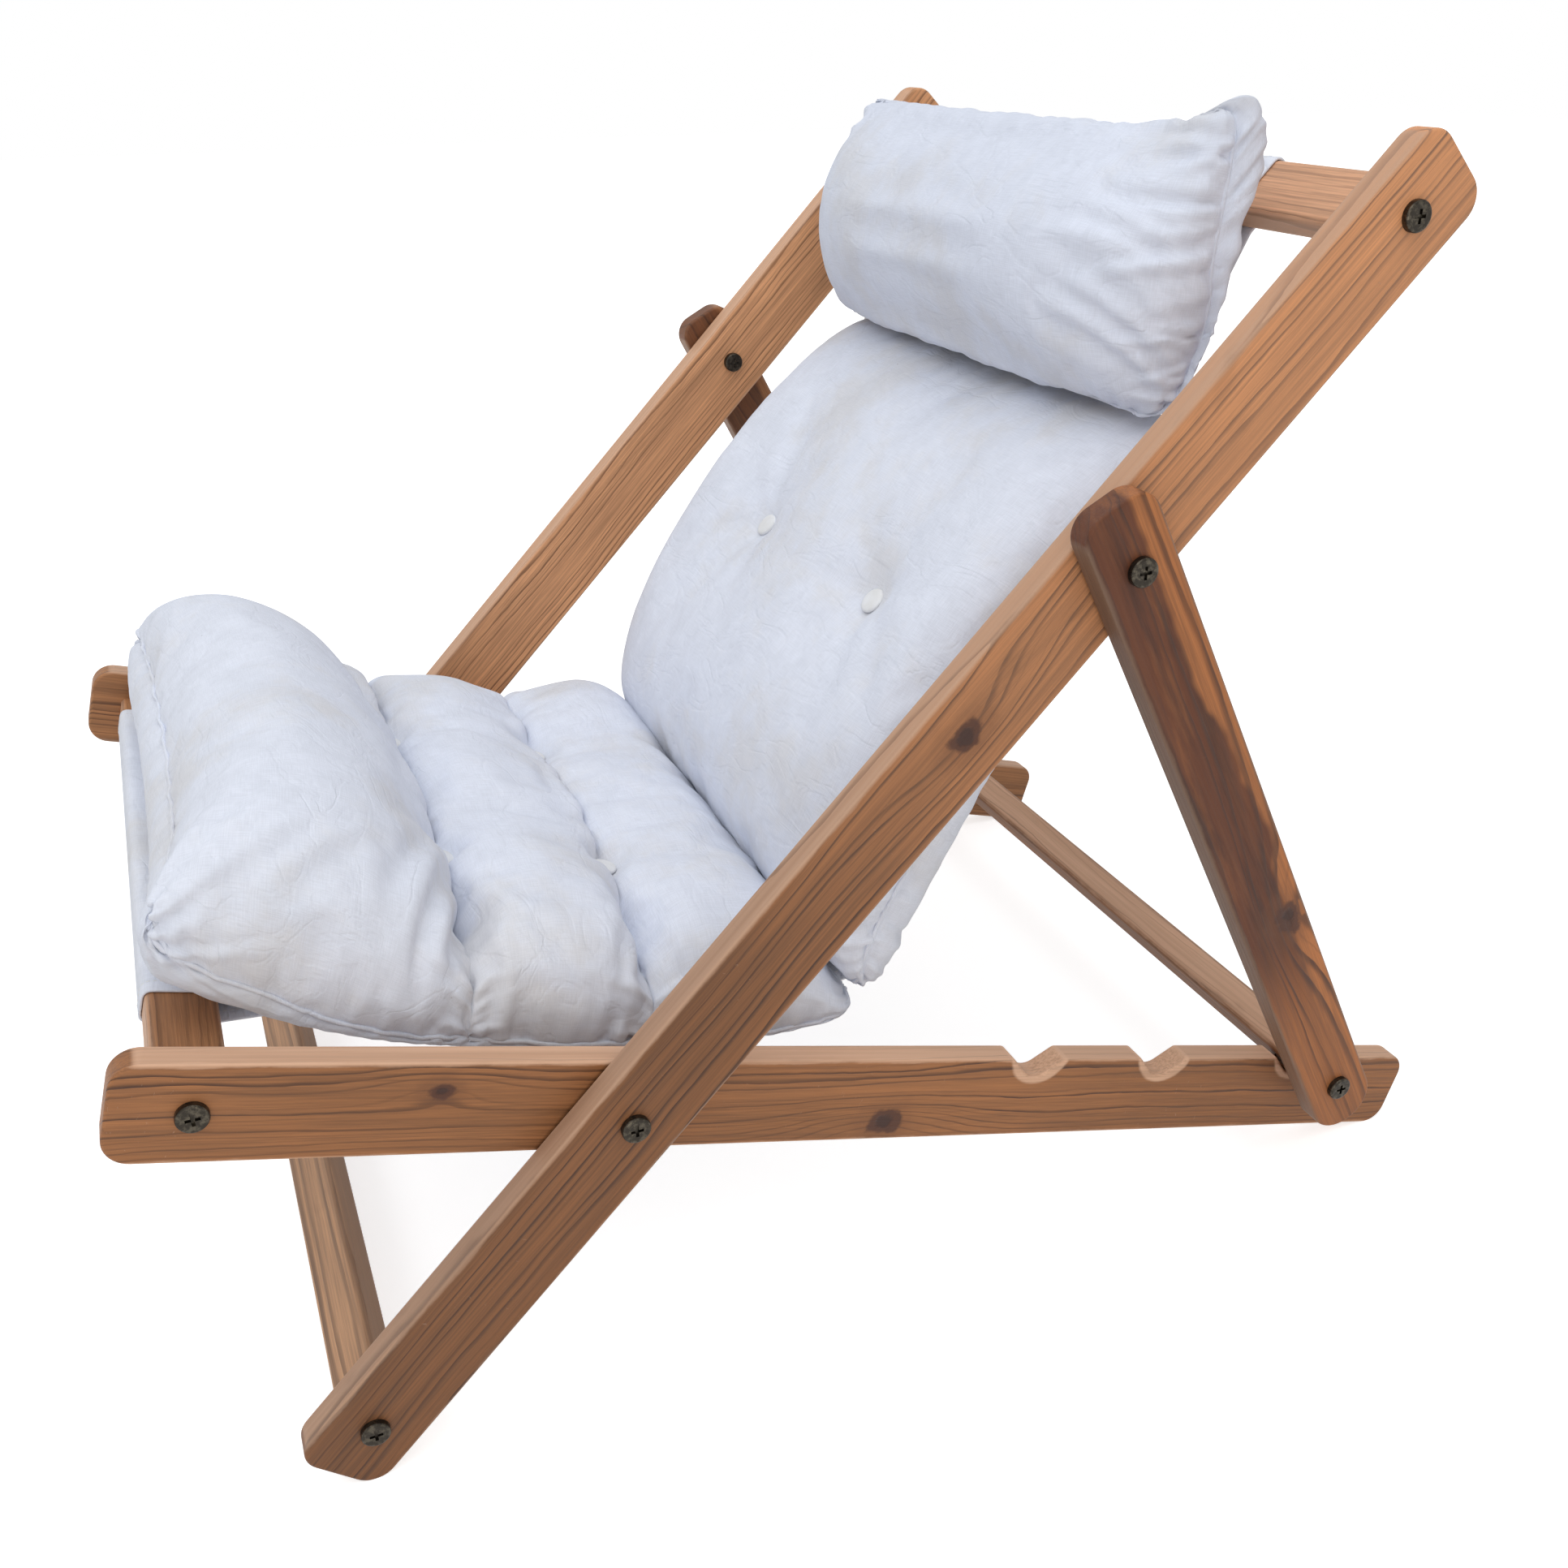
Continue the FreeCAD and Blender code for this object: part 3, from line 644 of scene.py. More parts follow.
def hump(away, reach, power=2):
    """One in the middle, dying out at about the reach."""
    return np.exp(-((away / reach) ** power))


def beside_fold(places, start, end):
    """Share of the way along a fold, the distance off it and its length."""
    way = np.subtract(end, start)
    size = math.hypot(*way)
    share = ((places - start) @ way) / size**2
    off = ((places - start) @ np.array((-way[1], way[0]))) / size
    return share, off, size


def fold_in(away, reach):
    """How strong a fold is at a distance from its seam: none on it, most at the reach, then dying out."""
    return away / reach * np.exp(1 - away / reach)


def ripples(run, luck):
    """Uneven waves along a seam."""
    total = np.zeros(np.shape(run))
    for gap, share in ((19.0, 0.45), (27.0, 0.6), (43.0, 0.5), (95.0, 0.4)):
        total = total + share * np.cos(2 * math.pi * (run / (gap * luck.uniform(0.9, 1.1)) + luck.uniform()))
    return total


# How far folds run in from a seam and from a crease in millimetres, and where their lips lie in fold widths
SEAM_REACH, CREASE_REACH, LIP_PLACE = 10.0, 13.0, 1.9

# Distance on the cloth from the top panel to the under panel in metres, and the seam's cord in millimetres
UNDER_AWAY, SEAM_RADIUS, SEAM_LIFT = 2.0, 1.7, 0.8


class Cushion:
    """Two panels sewn together along one seam, laid out as a grid of rows and columns."""

    def __init__(self, name, line, sections, half, corner, ends=(12.0, 8.0), swell=(6.0, 6.0), fine=1.0):
        self.name, self.line, self.half, self.swell = name, line, half, swell
        cell = look("cloth").cell / MM * fine
        crown, seam, base = [], [], []
        self.marks = [0]
        for top, edge, under in sections:
            count = max(6, round(lengths(np.array(top, float))[-1] / cell))
            for rows, points in ((crown, top), (seam, edge), (base, under)):
                rows.extend(through(points, count, 0.6)[1 if rows else 0 :])
            self.marks.append(len(crown) - 1)
        self.crown, self.seam, self.base = np.array(crown), np.array(seam), np.array(base)
        self.rows = len(crown)
        self.run = lengths(self.crown)
        rise = np.abs(self.crown - self.seam).max()
        self.columns = round((2 * half + rise) / cell)
        self.x, self.lift = arch(half, rise, self.columns, ends, 2.0)
        self.under_x, self.sink = arch(half, rise, self.columns, (14.0, 10.0), 2.2)
        self.span = lengths(np.stack([self.x, self.lift * rise], 1))
        self.pull = 6 * np.sin(np.linspace(0, math.pi, self.rows))
        for away, radius in zip((self.run, self.run[-1] - self.run), corner):
            into = np.clip(1 - away / radius, 0, 1)
            self.pull += radius * (1 - np.sqrt(1 - into**2))
        self.lay_out()

    def lay_out(self):
        rows, columns = self.rows, self.columns
        self.top = np.arange(rows * (columns + 1)).reshape(rows, columns + 1)
        count = self.top.size
        self.under = self.top.copy()
        inner = (rows - 2) * (columns - 1)
        self.under[1:-1, 1:-1] = np.arange(count, count + inner).reshape(rows - 2, columns - 1)
        self.count = count + inner
        top = self.top
        self.rim = np.concatenate([top[0, :], top[1:, -1], top[-1, -2::-1], top[-2:0:-1, 0]])

    def shape(self):
        """Places across, along and above the line of all points in millimetres, before filling."""
        points = np.zeros((self.count, 3))
        sides = ((self.under, self.base, self.under_x, self.sink, self.swell[1]),
                 (self.top, self.crown, self.x, self.lift, self.swell[0]))
        for grid, mid, x, lift, swell in sides:
            bulge = np.sign(x) * swell * np.sin(math.pi * np.clip(lift, 0, 1)) * (np.abs(x) > 0.8 * self.half)
            for i in range(self.rows):
                points[grid[i], 0] = x * (1 - self.pull[i] / self.half) + bulge * (0 < i < self.rows - 1)
                points[grid[i], 1:] = self.seam[i] + lift[:, None] * (mid[i] - self.seam[i])
        return points

    def held(self, under, rim):
        """How firmly each point is held while the cushion fills, and which ones are inside the top panel."""
        pins = np.zeros(self.count)
        pins[self.under[1:-1, 1:-1]] = under
        pins[self.rim] = rim
        top = np.zeros(self.count, bool)
        top[self.top[1:-1, 1:-1]] = True
        return pins, top

    def draw_corners(self, points, start, end, along, above, power, far):
        """Draw out the two corners at one end, fading from the start to the end place along the cushion."""
        wing = np.abs(points[:, 0] / self.half) ** power * ease((points[:, 1] - end) / (start - end))
        wing *= np.where(points[:, 0] < 0, far, 1.0)
        points[:, 1] += along * wing
        points[:, 2] += above * wing

    def outward(self, points, grid):
        """Directions that a panel faces."""
        sheet = points[grid]
        facing = np.cross(np.gradient(sheet, axis=1), np.gradient(sheet, axis=0))
        facing /= np.maximum(np.linalg.norm(facing, axis=2), 1e-9)[:, :, None]
        return facing if grid is self.top else -facing

    def gather(self, points, depth, seed, creases=(), folds=()):
        """Small folds that run in from the seam and from each crease, and single folds across the top panel."""
        luck = np.random.default_rng(seed)
        rows, columns = self.run[:, None], self.span[None, :]
        sides = ((columns, rows), (self.span[-1] - columns, rows),
                 (rows, columns), (self.run[-1] - rows, columns))
        for grid in (self.top, self.under):
            push = np.zeros(grid.shape)
            for away, run in sides:
                push = push + depth * fold_in(away, SEAM_REACH) * ripples(run, luck)
            if grid is self.top:
                for row, strength in creases:
                    away = np.abs(rows - self.run[row])
                    push = push + strength * fold_in(away, CREASE_REACH) * ripples(columns, luck)
                places = points[grid][:, :, :2]
                for start, end, width, deep in folds:
                    share, off, _ = beside_fold(places, start, end)
                    off = off / width
                    taper = np.sin(math.pi * np.clip(share, 0, 1)) ** 0.7
                    lips = np.exp(-((np.abs(off) - LIP_PLACE) ** 2))
                    push = push - deep * taper * (np.exp(-(off**2)) - 0.55 * lips)
            inner = np.zeros(grid.shape, bool)
            inner[1:-1, 1:-1] = True
            facing = self.outward(points, grid)
            points[grid[inner]] += (push[:, :, None] * facing)[inner]

    def place(self, points):
        line = self.line
        start, along, above = np.array(line.start), np.array(line.along), np.array(line.above)
        across = np.array([[1.0, 0, 0]])
        return start + MM * (points[:, :1] * across + points[:, 1:2] * along + points[:, 2:] * above)

    def faces(self):
        """Faces of both panels, and each corner's place on the cloth, where the under panel lies apart."""
        made, cloth = [], []
        down, across = self.run * MM, self.span * MM
        for grid, flip in ((self.top, False), (self.under, True)):
            for i in range(self.rows - 1):
                for j in range(self.columns):
                    ring = [(i, j), (i, j + 1), (i + 1, j + 1), (i + 1, j)]
                    if flip:
                        ring.reverse()
                    made.append([int(grid[a, b]) for a, b in ring])
                    cloth.extend((across[b], down[a] + (UNDER_AWAY if flip else 0.0)) for a, b in ring)
        return made, cloth


def fill(piece, pins, pressure, grow, frames, cap):
    """Swell a sewn shell with air for a few steps, holding its pinned points, and keep it near its start."""
    group = piece.vertex_groups.new(name="held")
    for i, weight in enumerate(pins):
        if weight > 0:
            group.add([i], float(weight), "REPLACE")
    start = coordinates(piece.data)
    cloth = piece.modifiers.new("Cloth", "CLOTH")
    settings = cloth.settings
    settings.quality = 6
    settings.mass = 0.25
    settings.tension_stiffness = 30
    settings.compression_stiffness = 30
    settings.shear_stiffness = 12
    settings.bending_stiffness = 0.6
    settings.use_pressure = True
    settings.uniform_pressure_force = pressure
    settings.shrink_min = -grow
    settings.vertex_group_mass = "held"
    settings.effector_weights.gravity = 0
    cloth.point_cache.frame_start = 1
    cloth.point_cache.frame_end = frames
    scene = bpy.context.scene
    for step in range(1, frames + 1):
        scene.frame_set(step)
    graph = bpy.context.evaluated_depsgraph_get()
    found = piece.evaluated_get(graph).to_mesh()
    moved = coordinates(found) - start
    piece.evaluated_get(graph).to_mesh_clear()
    piece.modifiers.remove(cloth)
    piece.vertex_groups.remove(group)
    far = np.linalg.norm(moved, axis=1)
    moved *= (cap * np.tanh(far / cap) / np.maximum(far, 1e-9))[:, None]
    piece.data.vertices.foreach_set("co", (start + moved).ravel())
    piece.data.update()
    scene.frame_set(1)


def ring_cord(path, radius, sides=6):
    """Points and faces of a thin round cord along a closed path."""
    path = np.asarray(path, float)
    ahead = np.roll(path, -1, 0) - np.roll(path, 1, 0)
    ahead /= np.maximum(np.linalg.norm(ahead, axis=1), 1e-9)[:, None]
    side = np.cross(ahead, [0.31, 0.47, 0.83])
    side /= np.linalg.norm(side, axis=1)[:, None]
    up = np.cross(ahead, side)
    turn = np.linspace(0, 2 * math.pi, sides, endpoint=False)[None, :, None]
    verts = path[:, None, :] + radius * (np.cos(turn) * side[:, None, :] + np.sin(turn) * up[:, None, :])
    count = len(path)
    faces = []
    for i in range(count):
        a, b = i * sides, (i + 1) % count * sides
        for k in range(sides):
            after = (k + 1) % sides
            faces.append([a + k, a + after, b + after, b + k])
    return verts.reshape(-1, 3), faces


def pleats(cushion, luck, gap, reach, depth):
    """Short folds in from the near seam: start, end, width and a depth that changes along the seam."""
    made = []
    spot = gap * luck.uniform(0.6, 1.2)
    while spot < cushion.run[-1] - 0.5 * gap:
        far = luck.uniform(*reach)
        slant = luck.uniform(-0.45, 0.45)
        width = luck.uniform(2.8, 5.0)
        made.append(((0, spot), (far, spot + far * slant), width, depth(spot) * luck.uniform(0.25, 1.45)))
        spot += gap * luck.uniform(0.4, 1.7)
    return made


def press_folds(piece, cushion, folds, far_share, under_share):
    """Press folds into the filled panels, in from the near end, and the same ones more weakly elsewhere."""
    mesh = piece.data
    corners = np.empty(len(mesh.loops), int)
    mesh.loops.foreach_get("vertex_index", corners)
    cloth = np.empty(len(mesh.loops) * 2)
    mesh.uv_layers["cloth"].data.foreach_get("uv", cloth)
    place = np.empty((len(mesh.vertices), 2))
    place[corners] = cloth.reshape(-1, 2) / MM
    under = place[:, 1] > 0.75 * UNDER_AWAY / MM
    place[under, 1] -= UNDER_AWAY / MM
    facing = np.empty(len(mesh.vertices) * 3)
    mesh.vertices.foreach_get("normal", facing)
    push = np.zeros(len(mesh.vertices))
    for inward, share_of in ((cushion.span[-1] - place[:, 0], 1.0), (place[:, 0], far_share)):
        spots = np.stack([inward, place[:, 1]], 1)
        for k, (start, end, width, deep) in enumerate(folds):
            share, off, size = beside_fold(spots, start, end)
            off = off / (width * (0.8 + 0.6 * np.clip(share, 0, 1)))
            taper = np.clip(share * size / 9, 0, 1) * np.clip(1 - share, 0, 1) ** 0.8
            lip = np.exp(-((off - (LIP_PLACE if k % 2 else -LIP_PLACE)) ** 2))
            push -= share_of * deep * taper * (np.exp(-(off**2)) - 0.75 * lip)
    push[under] *= under_share
    moved = coordinates(mesh) + push[:, None] * MM * facing.reshape(-1, 3)
    mesh.vertices.foreach_set("co", moved.ravel())
    mesh.update()


def finish_cushion(cushion, points, pins, material, pressure, grow, cap, folds, far_share=0.6, under_share=0.6):
    """Mesh, fill, smooth, fold and seam one cushion."""
    faces, spots = cushion.faces()
    piece = add_object(cushion.name, cushion.place(points), faces, material)
    lay_cloth(piece, spots)
    fill(piece, pins, pressure, grow, look("cloth").frames, cap * MM)
    level = piece.modifiers.new("Subdivision", "SUBSURF")
    level.levels = level.render_levels = 1
    settle(piece)
    smooth(piece)
    press_folds(piece, cushion, folds, far_share, under_share)
    edge = [piece.data.vertices[int(i)] for i in cushion.rim]
    verts, faces = ring_cord([v.co + SEAM_LIFT * MM * v.normal for v in edge], SEAM_RADIUS * MM)
    seam = add_object(cushion.name + "_seam", verts, faces, material)
    lay_cloth(seam, [seam.data.vertices[loop.vertex_index].co[:2] for loop in seam.data.loops])
    smooth(seam)
    with bpy.context.temp_override(active_object=piece, selected_editable_objects=[piece, seam]):
        bpy.ops.object.join()
    return piece


# Repeated pieces
def repeat_tree(name):
    """Geometry nodes that set a pattern on each point, or stitches along each line."""
    tree = bpy.data.node_groups.get(name)
    if tree:
        return tree
    tree = bpy.data.node_groups.new(name, "GeometryNodeTree")
    row = name == "Button row"
    own = {"Gap": "Float", "Length": "Float", "Width": "Float"}
    if row:
        own = {"Piece": "Object", "Turn": "Rotation"}
    for label, kind in {"Geometry": "Geometry", **own, "Material": "Material"}.items():
        tree.interface.new_socket(label, in_out="INPUT", socket_type="NodeSocket" + kind)
    tree.interface.new_socket("Geometry", in_out="OUTPUT", socket_type="NodeSocketGeometry")
    n = Nodes(tree)
    into = n.add("NodeGroupInput").outputs
    if row:
        spots = n.add("GeometryNodeMeshToPoints", {"Mesh": into["Geometry"]}).outputs[0]
        pattern = n.add("GeometryNodeObjectInfo", {"Object": into["Piece"]}).outputs["Geometry"]
        turn = into["Turn"]
        scale = (1.0, 1.0, 1.0)
    else:
        curve = n.add("GeometryNodeMeshToCurve", {"Mesh": into["Geometry"]}).outputs[0]
        spots = n.add("GeometryNodeResampleCurve", {"Curve": curve, "Length": into["Gap"]}, mode="LENGTH")
        spots = spots.outputs[0]
        pattern = n.add("GeometryNodeMeshUVSphere", {"Segments": 6, "Rings": 4, "Radius": 0.5}).outputs["Mesh"]
        ahead = n.add("GeometryNodeInputTangent").outputs[0]
        turn = n.add("FunctionNodeAlignRotationToVector", {"Vector": ahead}, axis="Z").outputs[0]
        scale = n.join(into["Width"], into["Width"], into["Length"])
    placed = n.add("GeometryNodeInstanceOnPoints", {
        "Points": spots, "Instance": pattern, "Rotation": turn, "Scale": scale})
    real = n.add("GeometryNodeRealizeInstances", {"Geometry": placed.outputs[0]}).outputs[0]
    done = n.add("GeometryNodeSetMaterial", {"Geometry": real, "Material": into["Material"]}).outputs[0]
    n.feed(n.add("NodeGroupOutput").inputs[0], done)
    return tree


def repeat(piece, name, values):
    """Set a row of like pieces on a piece's points or lines and keep them as one plain mesh."""
    tree = repeat_tree(name)
    row = piece.modifiers.new(name, "NODES")
    row.node_group = tree
    for item in tree.interface.items_tree:
        if item.in_out == "INPUT" and item.name in values:
            row[item.identifier] = values[item.name]
    settle(piece)


# Points nearer to each other than this belong to one button, in metres
BUTTON_REACH = 0.03


def button_spots(node, line):
    """Middle of the underside of each button of a node."""
    place = NODES[node].matrix_world
    points = coordinates(NODES[node].data) @ np.array(place.to_3x3()).T + np.array(place.translation)
    off = points - np.array(line.start)
    local = np.stack([points[:, 0], off @ np.array(line.along), off @ np.array(line.above)], 1)
    groups = []
    for point in local:
        for group in groups:
            if np.hypot(*(point - group[0])[:2]) < BUTTON_REACH:
                group.append(point)
                break
        else:
            groups.append([point])
    spots = []
    for group in groups:
        low, high = np.min(group, 0), np.max(group, 0)
        x, along = (low + high)[:2] / 2
        spots.append(tuple(line.at(along / MM, low[2] / MM, x / MM)))
    return spots


# Sling
# Sides of the sling across the chair, stitch rows from either end, its hem and its tails, in millimetres
SLING_SIDES = (-273.0, 208.0)
LOOP_SEAMS = (6.0, 40.0, -6.0, -40.0)
HEM = 14.0
FRONT_TAIL, TOP_TAIL = 64, 62

# The loops round the rails: half their width and depth, the round of their corners and the gap to the tail
LOOP_WIDE, LOOP_DEEP, LOOP_ROUND, TAIL_GAP = 23.8, 11.8, 6.3, 2.1


def sling_path(step):
    """Points of the sling's middle line from front tail to top tail, and the way to the cushions at each."""

    def flat(point):
        return np.array((point.y, point.z))

    def loop(line, middle_at, along, above):
        return flat(line.at(middle_at + along * LOOP_WIDE, above * LOOP_DEEP))

    def unit(way):
        return way / np.linalg.norm(way)

    front_loop, sag, fold = loop(RAIL, FRONT_RAIL, 1, 1), flat(RAIL.at(10, -24)), flat(RAIL.at(236, 36))
    bend, top_loop = flat(POST.at(430, -110)), loop(POST, TOP_RAIL, -1, -1)
    down, up = unit(sag - front_loop), unit(top_loop - bend)
    front_end = front_loop + FRONT_TAIL * MM * down + TAIL_GAP * MM * np.array((down[1], -down[0]))
    top_end = top_loop - TOP_TAIL * MM * up + TAIL_GAP * MM * np.array((-up[1], up[0]))
    corners = [(front_end, 0)]
    corners += [(loop(RAIL, FRONT_RAIL, *side), LOOP_ROUND) for side in ((1, -1), (-1, -1), (-1, 1), (1, 1))]
    corners += [(sag, 500), (fold, 46), (bend, 700)]
    corners += [(loop(POST, TOP_RAIL, *side), LOOP_ROUND) for side in ((-1, -1), (1, -1), (1, 1), (-1, 1))]
    corners.append((top_end, 0))
    points = [front_end]
    for (before, _), (here, radius), (after, _) in zip(corners, corners[1:], corners[2:]):
        back, ahead = unit(here - before), unit(after - here)
        bite = radius * MM * math.tan(math.acos(np.clip(back @ ahead, -1, 1)) / 2)
        start, end = here - back * bite, here + ahead * bite
        for share in np.linspace(0, 1, 25):
            points.append((1 - share) ** 2 * start + 2 * share * (1 - share) * here + share**2 * end)
    points = np.array([*points, top_end])
    points = spaced(points, round(lengths(points)[-1] / (step * MM)))
    way = np.gradient(points, axis=0)
    way /= np.linalg.norm(way, axis=1)[:, None]
    return points, np.stack([-way[:, 1], way[:, 0]], 1)


# Operators
class CHAIR_OT_wood(bpy.types.Operator):
    """Give each board its own pine, with the grain along it"""
    bl_idname = "chair.wood"
    bl_label = "Pine boards"
    bl_options = {"REGISTER", "UNDO"}

    def execute(self, context):
        def long_board(line, x, half):
            return dict(rows=(ACROSS, line.along, line.above), centre=line.at(0, 0, x), half=half)

        def cross_board(line, along, half):
            return dict(rows=(line.above, ACROSS, line.along), centre=line.at(along, 0), half=half)

        rail, post, prop = (0.0105, 0.53, 0.035), (0.0105, 0.56, 0.035), (0.0105, 0.32, 0.028)
        cross, bar = (0.0105, 0.33, 0.0225), (0.015, 0.35, 0.015)
        notches = (0.608, 0.460, 0.335)
        # edge is each board's tone for its bare narrow faces and rubbed marks; besides wear it paints light,
        # above one where the narrow faces face up into the light, and shade, below one where they lie in shade
        # under the seat
        boards = {
            "left_seat_rail": dict(
                long_board(RAIL, 315.5, rail), seed=1.3, pith=(-0.042, 0.010, 0.052), tint=(0.79, 0.70, 0.585),
                knots=((-0.127, 0.014, 0.0066), (0.211, -0.0195, 0.0112)), depth=1.0, edge=1.20,
                notches=notches),
            "right_seat_rail": dict(
                long_board(RAIL, -315.5, rail), seed=4.1, pith=(-0.040, -0.006, 0.030), tint=(0.90, 0.86, 0.80),
                knots=((0.30, 0.01, 0.007),), gap=1.2, depth=0.9, edge=0.95, notches=notches),
            "left_back_post": dict(
                long_board(POST, 338.5, post), seed=2.2, pith=(-0.030, 0.012, -0.056), tint=(0.51, 0.445, 0.37),
                knots=((0.336, 0.0017, 0.0105),), gap=1.25, depth=1.0, edge=0.80, bleached=(0.05, 0.75, 2.35)),
            "right_back_post": dict(
                long_board(POST, -338.5, post), seed=7.7, pith=(-0.030, 0.004, 0.045), tint=(1.75, 1.85, 2.0),
                gap=0.85, depth=0.9),
            "left_prop": dict(
                long_board(PROP, 361.5, prop), seed=5.4, pith=(-0.020, 0.010, -0.040), tint=(1.0, 0.79, 0.59),
                knots=((0.34, 0.012, 0.012), (0.62, 0.020, 0.006)), heart=1.0, gap=1.3, depth=1.0, edge=0.32),
            "right_prop": dict(
                long_board(PROP, -361.5, prop), seed=8.9, pith=(-0.020, 0.008, 0.030), tint=(0.98, 0.92, 0.86),
                knots=((0.25, 0.004, 0.007),), heart=0.75, gap=1.1, depth=0.9, edge=0.6),
            "front_rail": dict(
                cross_board(RAIL, FRONT_RAIL, cross), seed=3.6, pith=(0.03, 0.01, 0.02), tint=(1.05, 1.03, 1.0),
                gap=1.1),
            "top_rail": dict(
                cross_board(POST, TOP_RAIL, cross), seed=6.8, pith=(0.03, -0.012, 0.05), tint=(1.60, 1.85, 2.4),
                depth=0.6),
            "bottom_rail": dict(
                cross_board(POST, -276, cross), seed=9.5, pith=(0.016, 0.010, 0.000), tint=(1.30, 1.55, 1.9),
                gap=1.5, edge=0.55),
            "prop_bar": dict(
                cross_board(PROP, 544, bar), seed=10.2, pith=(0.05, 0.01, 0.03), tint=(0.72, 0.66, 0.60),
                edge=1.25),
        }
        for node, board in boards.items():
            coat(node, pine_material("pine " + node.replace("_", " "), **board))
        return {"FINISHED"}


class CHAIR_OT_metal(bpy.types.Operator):
    """Give the bolts, nuts and washers their finishes"""
    bl_idname = "chair.metal"
    bl_label = "Bolts and nuts"
    bl_options = {"REGISTER", "UNDO"}

    def execute(self, context):
        metal = look("metal")
        bronze = metal_material("dark bronze", metal.bronze, metal.rubbed, 0.36)
        zinc = metal_material("plain zinc", metal.zinc, [c * 0.7 for c in metal.zinc], 0.38)
        for node in NODES:
            if node.endswith(("_bolts", "_pivot_nuts")):
                coat(node, bronze)
            elif node.endswith(("_barrel_nuts", "_washers")):
                coat(node, zinc)
        return {"FINISHED"}


class CHAIR_OT_seat_cushion(bpy.types.Operator):
    """Make the seat cushion: a front roll and two puffs"""
    bl_idname = "chair.seat_cushion"
    bl_label = "Seat cushion"
    bl_options = {"REGISTER", "UNDO"}

    def execute(self, context):
        sections = [
            ([(-279, 84), (-282, 104), (-276, 125), (-258, 142), (-226, 151), (-186, 144), (-150, 127),
              (-120, 105), (-100, 87), (-94, 74), (-95, 62)],
             [(-279, 84), (-277, 66), (-258, 52), (-224, 40), (-181, 23), (-140, 13), (-95, 10)],
             [(-279, 84), (-289, 68), (-291, 48), (-283, 28), (-262, 18), (-240, 15), (-180, 5), (-95, -6)]),
            ([(-95, 62), (-93, 73), (-84, 84), (-66, 92), (-38, 96), (-8, 94), (14, 87), (29, 78), (38, 66)],
             [(-95, 10), (-50, 6), (0, 5), (38, 8)],
             [(-95, -6), (-50, -11), (0, -13), (38, -10)]),
            ([(38, 66), (47, 79), (66, 90), (88, 95), (108, 97), (132, 95), (152, 87), (172, 71), (190, 53),
              (205, 39)],
             [(38, 8), (90, 12), (138, 19), (170, 28), (205, 39)],
             [(38, -10), (90, 1), (140, 14), (175, 24), (205, 39)]),
        ]
        cushion = Cushion("seat_cushion_cover", RAIL, sections, 264, (30, 34), fine=0.86)
        points = cushion.shape()
        pins, top = cushion.held(0.9, 0.35)
        pins[cushion.top[0]] = 0.1
        creases = cushion.marks[1:-1]
        folds = [
            ((262, -300), (170, -240), 6, 3.5), ((262, -288), (185, -215), 5, 3.0),
            ((262, -270), (190, -180), 5, 3.0), ((262, -235), (200, -165), 5, 2.5),
            ((250, -165), (150, -125), 6, 4.5), ((262, -140), (160, -104), 5, 5.5),
            ((262, -112), (190, -100), 5, 4.0), ((262, -80), (150, -92), 5, 5.0),
            ((258, -58), (180, -84), 5, 4.0), ((255, -30), (205, -66), 5, 2.5), ((262, 5), (180, 30), 5, 4.0),
            ((262, 28), (150, 38), 5, 4.5), ((262, 55), (160, 44), 5, 4.5), ((258, 80), (190, 55), 6, 3.0),
            ((120, -130), (-20, -118), 9, 2.0), ((-60, -70), (60, -84), 8, 2.0), ((60, 10), (-70, 26), 8, 2.0),
            ((-90, 55), (40, 48), 8, 2.0), ((-200, -130), (-110, -105), 8, 2.0),
            ((90, -250), (-40, -262), 12, 1.6),
        ]
        cushion.draw_corners(points, -285, -205, -25, 17, 3, 0.45)
        cushion.gather(points, 1.2, 11, [(row, 1.5) for row in creases], folds)

        # The puffs stand higher at the far side, and the creases rise between the buttons and at the far end
        x, along = points[:, 0].copy(), points[:, 1].copy()
        far = 5 * hump(along + 30, 45) + 16 * hump(along - 112, 55)
        points[:, 2] += np.where(top, ease((-40 - x) / 220) * far, 0)
        between = ease((175 - x) / 40) * ease((x + 190) / 40)
        for side in BUTTON_SIDES:
            between *= 1 - hump(x - side, 36)
        for row, rise in zip(creases, (4, 13)):
            pins[cushion.top[row]] = np.where(cushion.lift > 0.25, 0.9, 0.5)
            away = points[:, 1] - cushion.crown[row, 0]
            pinch = np.exp(-(((x - 200) / 50) ** 2) - (away / 14) ** 2)
            shallow = ease((-150 - x) / 90) * hump(away, 24)
            points[:, 2] += np.where(top, 12 * shallow - 20 * pinch + rise * between * hump(away, 17), 0)
            points[cushion.top[row, 1:-1], 2] -= 4
            for side in BUTTON_SIDES:
                spot = np.hypot(x - side, away)
                points[:, 2] -= np.where(top, np.clip(points[:, 2] - 66, 0, 18) * hump(spot, 15, 4), 0)
                pins = np.maximum(pins, top * (spot < 11))

        # Pleats are deeper at the front and beside the creases, and the near front corner has its own folds
        slits = cushion.run[list(creases)]

        def depth(spot):
            return 1.0 + 1.6 * hump(spot, 70) + sum(2.4 * hump(spot - slit, 48) for slit in slits)

